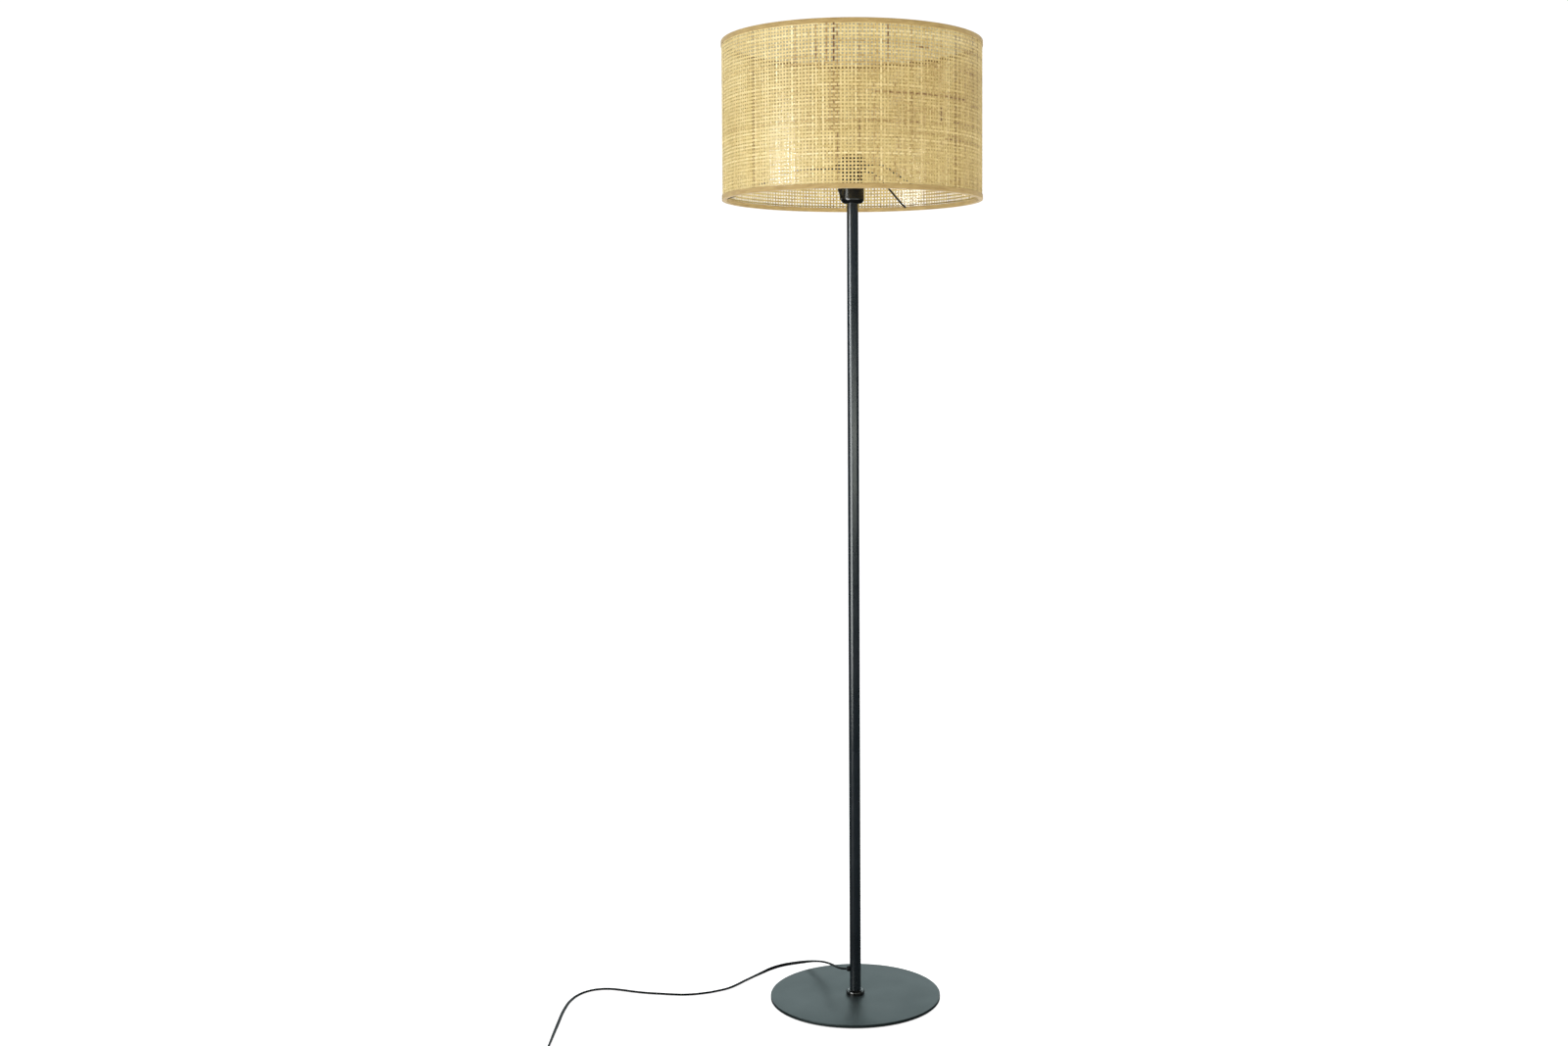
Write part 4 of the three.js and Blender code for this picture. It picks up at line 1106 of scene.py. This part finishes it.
# A slab of film from one bearing round to another
def filmSlab(inner, bottom, top, start, sweep, steps):
    bm = bmesh.new()
    aside, outer = Vector((math.cos(start), math.sin(start), 0)), film["outer"]
    corners = [bm.verts.new((aside * radius + Vector((0, 0, height))) * mm)
               for radius, height in ((inner, bottom), (outer, bottom), (outer, top), (inner, top))]
    spin(bm, [bm.faces.new(corners)], sweep, steps)
    faceOut(bm)
    return bm


# The sheet goes round to where its edges lie on each other, which is the seam
def makeFilm():
    overlap = film["seamWidth"] / film["inner"]
    start = math.radians(film["seamBearing"]) - overlap / 2
    sheet = filmSlab(film["inner"], film["bottom"], film["top"], start + overlap,
                     fullTurn - overlap, film["steps"])
    finishPiece(sheet, "clearFilm", "shade", "clear_film", ("shade_film",), 40)
    seam = filmSlab(film["seamInner"], film["seamBottom"], film["seamTop"], start, overlap,
                    film["seamSteps"])
    finishPiece(seam, "filmSeam", "shade", "clear_film", ("film_seam",), 40)


makeStakes()
makeHoops()
makeTape("bottomTape", False, "bottom_tape")
makeTape("topTape", True, "top_tape")
makeFilm()
print("shade cover made")


# The CAD nodes that stay get their finishes
slotOf = {part["node"]: part["material_slot"] for part in frame["record"]["subparts"]}
for name, node in frame["nodes"].items():
    node.data.materials.clear()
    node.data.materials.append(finish[slotOf[name]])
print("finishes given")


studio = {
    "floorRadius": 14,
    "floorSides": 96,
    "floorDrop": 0.0003,
    "floorRough": 0.75,
    "floorColour": (0.9, 0.9, 0.9),
    "floorDull": 0.985,
    "floorCloud": (3, 3),
    "floorStops": (0.3, 0.7),
    "floorGlow": 0.76,
    "floorBounce": (0.25, 2.1),
    "bounceReach": (0.15, 1.5),
    "backdrop": (1.04, 1.04, 1.04),
    "throughFilm": (0.5, 0.46, 0.33),
    "throughBoth": (0.66, 0.55, 0.34),
    "filmAbove": (0.12, 0.15),
    "filmFaces": (0, 1),
    "bothFaces": (2.4, 3.6),
    "surround": (0.325, 0.33, 0.333),
    "mirroredDim": (0.05, 0.053, 0.053),
    "mirroredBehind": (1.48, 1.77, 1.8),
    "bandFoot": (0.14, 0.24),
    "bandHead": (0.74, 0.6),
    "bandBack": (-0.05, 0.15),
    "lamps": [
        ("keyLamp", (-1.45, -1.25, 1.72), (0, 0, 1.33), (0.6, 0.3), 11.6, (0.98, 0.99, 1), "diffuse"),
        ("highGleam", (-1.5, -0.88, 1.25), (0, 0, 1.25), (0.8, 0.5), 19, (0.93, 0.98, 1), "glossy"),
        ("lowGleam", (-1.25, -1.2, 0.6), (0, 0, 0.6), (1.1, 0.85), 30, (0.97, 1, 0.97), "glossy"),
        ("poleGleam", (0.63, -1.36, 0.8), (0, 0, 0.8), (3.2, 0.28), 13, (0.95, 1, 0.9), "glossy"),
        ("fillLamp", (2.2, -2.0, 1.2), (0, 0, 1.1), (2.0, 1.8), 11, (1, 0.95, 0.86), "diffuse"),
        ("topLamp", (0.0, -1.5, 3.1), (0, 0.1, 1.2), (1.4, 1.0), 4, (1, 0.98, 0.94), "diffuse"),
        ("backLamp", (0.3, 1.6, 3.2), (0, 0, 0.9), (1.6, 1.6), 20, (1, 1, 1), "diffuse"),
        ("innerLamp", (0, -0.07, 1.38), (0, 0.2, 1.31), (0.16, 0.1), 0.31, (0.82, 0.91, 1), "diffuse"),
    ],
}


def makeFloor():
    bm = bmesh.new()
    bmesh.ops.create_circle(bm, segments=studio["floorSides"], radius=studio["floorRadius"], cap_ends=True)
    bmesh.ops.translate(bm, verts=bm.verts, vec=(0, 0, -studio["floorDrop"]))
    mesh = bpy.data.meshes.new("floor")
    bm.to_mesh(mesh)
    bm.free()
    floor = bpy.data.objects.new("floor", mesh)
    collection.objects.link(floor)
    material, shader = newMaterial("paleFloor")
    cloud = noiseAt(material, objectPlace(material), *studio["floorCloud"])
    pale = studio["floorColour"]
    dull = tuple(channel * studio["floorDull"] for channel in pale)
    shader.inputs["Roughness"].default_value = studio["floorRough"]
    shader.inputs["Emission Color"].default_value = (1, 1, 1, 1)
    path = addNode(material, "LightPath").outputs
    seen = path["Is Camera Ray"]
    cloudy = ramp(material, cloud, studio["floorStops"], (dull, pale))
    paint = addNode(material, "Mix", {"Factor": seen, 6: (0, 0, 0, 1), 7: cloudy}, data_type="RGBA")
    wire(material, paint.outputs[2], shader.inputs["Base Color"])
    reach = addNode(material, "VectorMath", {0: objectPlace(material)}, operation="LENGTH").outputs["Value"]
    bounce = spread(material, reach, *studio["floorBounce"], *studio["bounceReach"])
    lit = addNode(material, "Math", {0: bounce, 1: path["Is Diffuse Ray"]}, operation="MULTIPLY")
    strength = addNode(material, "Math", {
        0: seen, 1: studio["floorGlow"], 2: lit.outputs[0]}, operation="MULTIPLY_ADD")
    wire(material, strength.outputs[0], shader.inputs["Emission Strength"])
    mesh.materials.append(material)


# The world lights the lamp evenly, shows in its gloss as a bright band low behind it, and is a
# white backdrop to the camera, a shade warmer high up where it is seen through the film
def makeWorld():
    world = bpy.context.scene.world or bpy.data.worlds.new("studio")
    bpy.context.scene.world = world
    world.use_nodes = True
    nodes, links = world.node_tree.nodes, world.node_tree.links

    def glow(colour):
        node = nodes.new("ShaderNodeBackground")
        node.inputs["Color"].default_value = (*colour, 1)
        return node.outputs[0]

    def mix(share, first, second):
        node = nodes.new("ShaderNodeMixShader")
        for socket, source in zip(node.inputs, (share, first, second)):
            links.new(source, socket)
        return node.outputs[0]

    def fade(source, low, high):
        node = nodes.new("ShaderNodeMapRange")
        node.interpolation_type = "SMOOTHSTEP"
        links.new(source, node.inputs["Value"])
        node.inputs["From Min"].default_value = low
        node.inputs["From Max"].default_value = high
        return node.outputs["Result"]

    def product(first, second):
        node = nodes.new("ShaderNodeMath")
        node.operation = "MULTIPLY"
        links.new(first, node.inputs[0])
        links.new(second, node.inputs[1])
        return node.outputs[0]

    path = nodes.new("ShaderNodeLightPath").outputs
    split = nodes.new("ShaderNodeSeparateXYZ")
    links.new(nodes.new("ShaderNodeTexCoord").outputs["Generated"], split.inputs[0])
    faces, up, back = path["Transparent Depth"], split.outputs["Z"], split.outputs["Y"]
    behindFilm = product(fade(faces, *studio["filmFaces"]), fade(up, *studio["filmAbove"]))
    behindBoth = fade(faces, *studio["bothFaces"])
    level = product(fade(up, *studio["bandFoot"]), fade(up, *studio["bandHead"]))
    band = product(level, fade(back, *studio["bandBack"]))
    mirrored = mix(band, glow(studio["mirroredDim"]), glow(studio["mirroredBehind"]))
    lit = mix(path["Is Glossy Ray"], glow(studio["surround"]), mirrored)
    seen = mix(behindFilm, glow(studio["backdrop"]), glow(studio["throughFilm"]))
    seen = mix(behindBoth, seen, glow(studio["throughBoth"]))
    links.new(mix(path["Is Camera Ray"], lit, seen), nodes["World Output"].inputs["Surface"])


def makeLamps():
    for name, place, aim, size, power, colour, shines in studio["lamps"]:
        data = bpy.data.lights.new(name, "AREA")
        data.shape = "RECTANGLE"
        data.size, data.size_y = size
        data.energy = power
        data.color = colour
        lamp = bpy.data.objects.new(name, data)
        lamp.location = place
        lamp.rotation_euler = (Vector(aim) - Vector(place)).to_track_quat("-Z", "Y").to_euler()
        lamp.visible_camera = False
        lamp.visible_diffuse = shines == "diffuse"
        lamp.visible_glossy = shines == "glossy"
        collection.objects.link(lamp)


makeFloor()
makeWorld()
makeLamps()
bpy.context.scene.view_settings.view_transform = "Standard"
print("studio set")
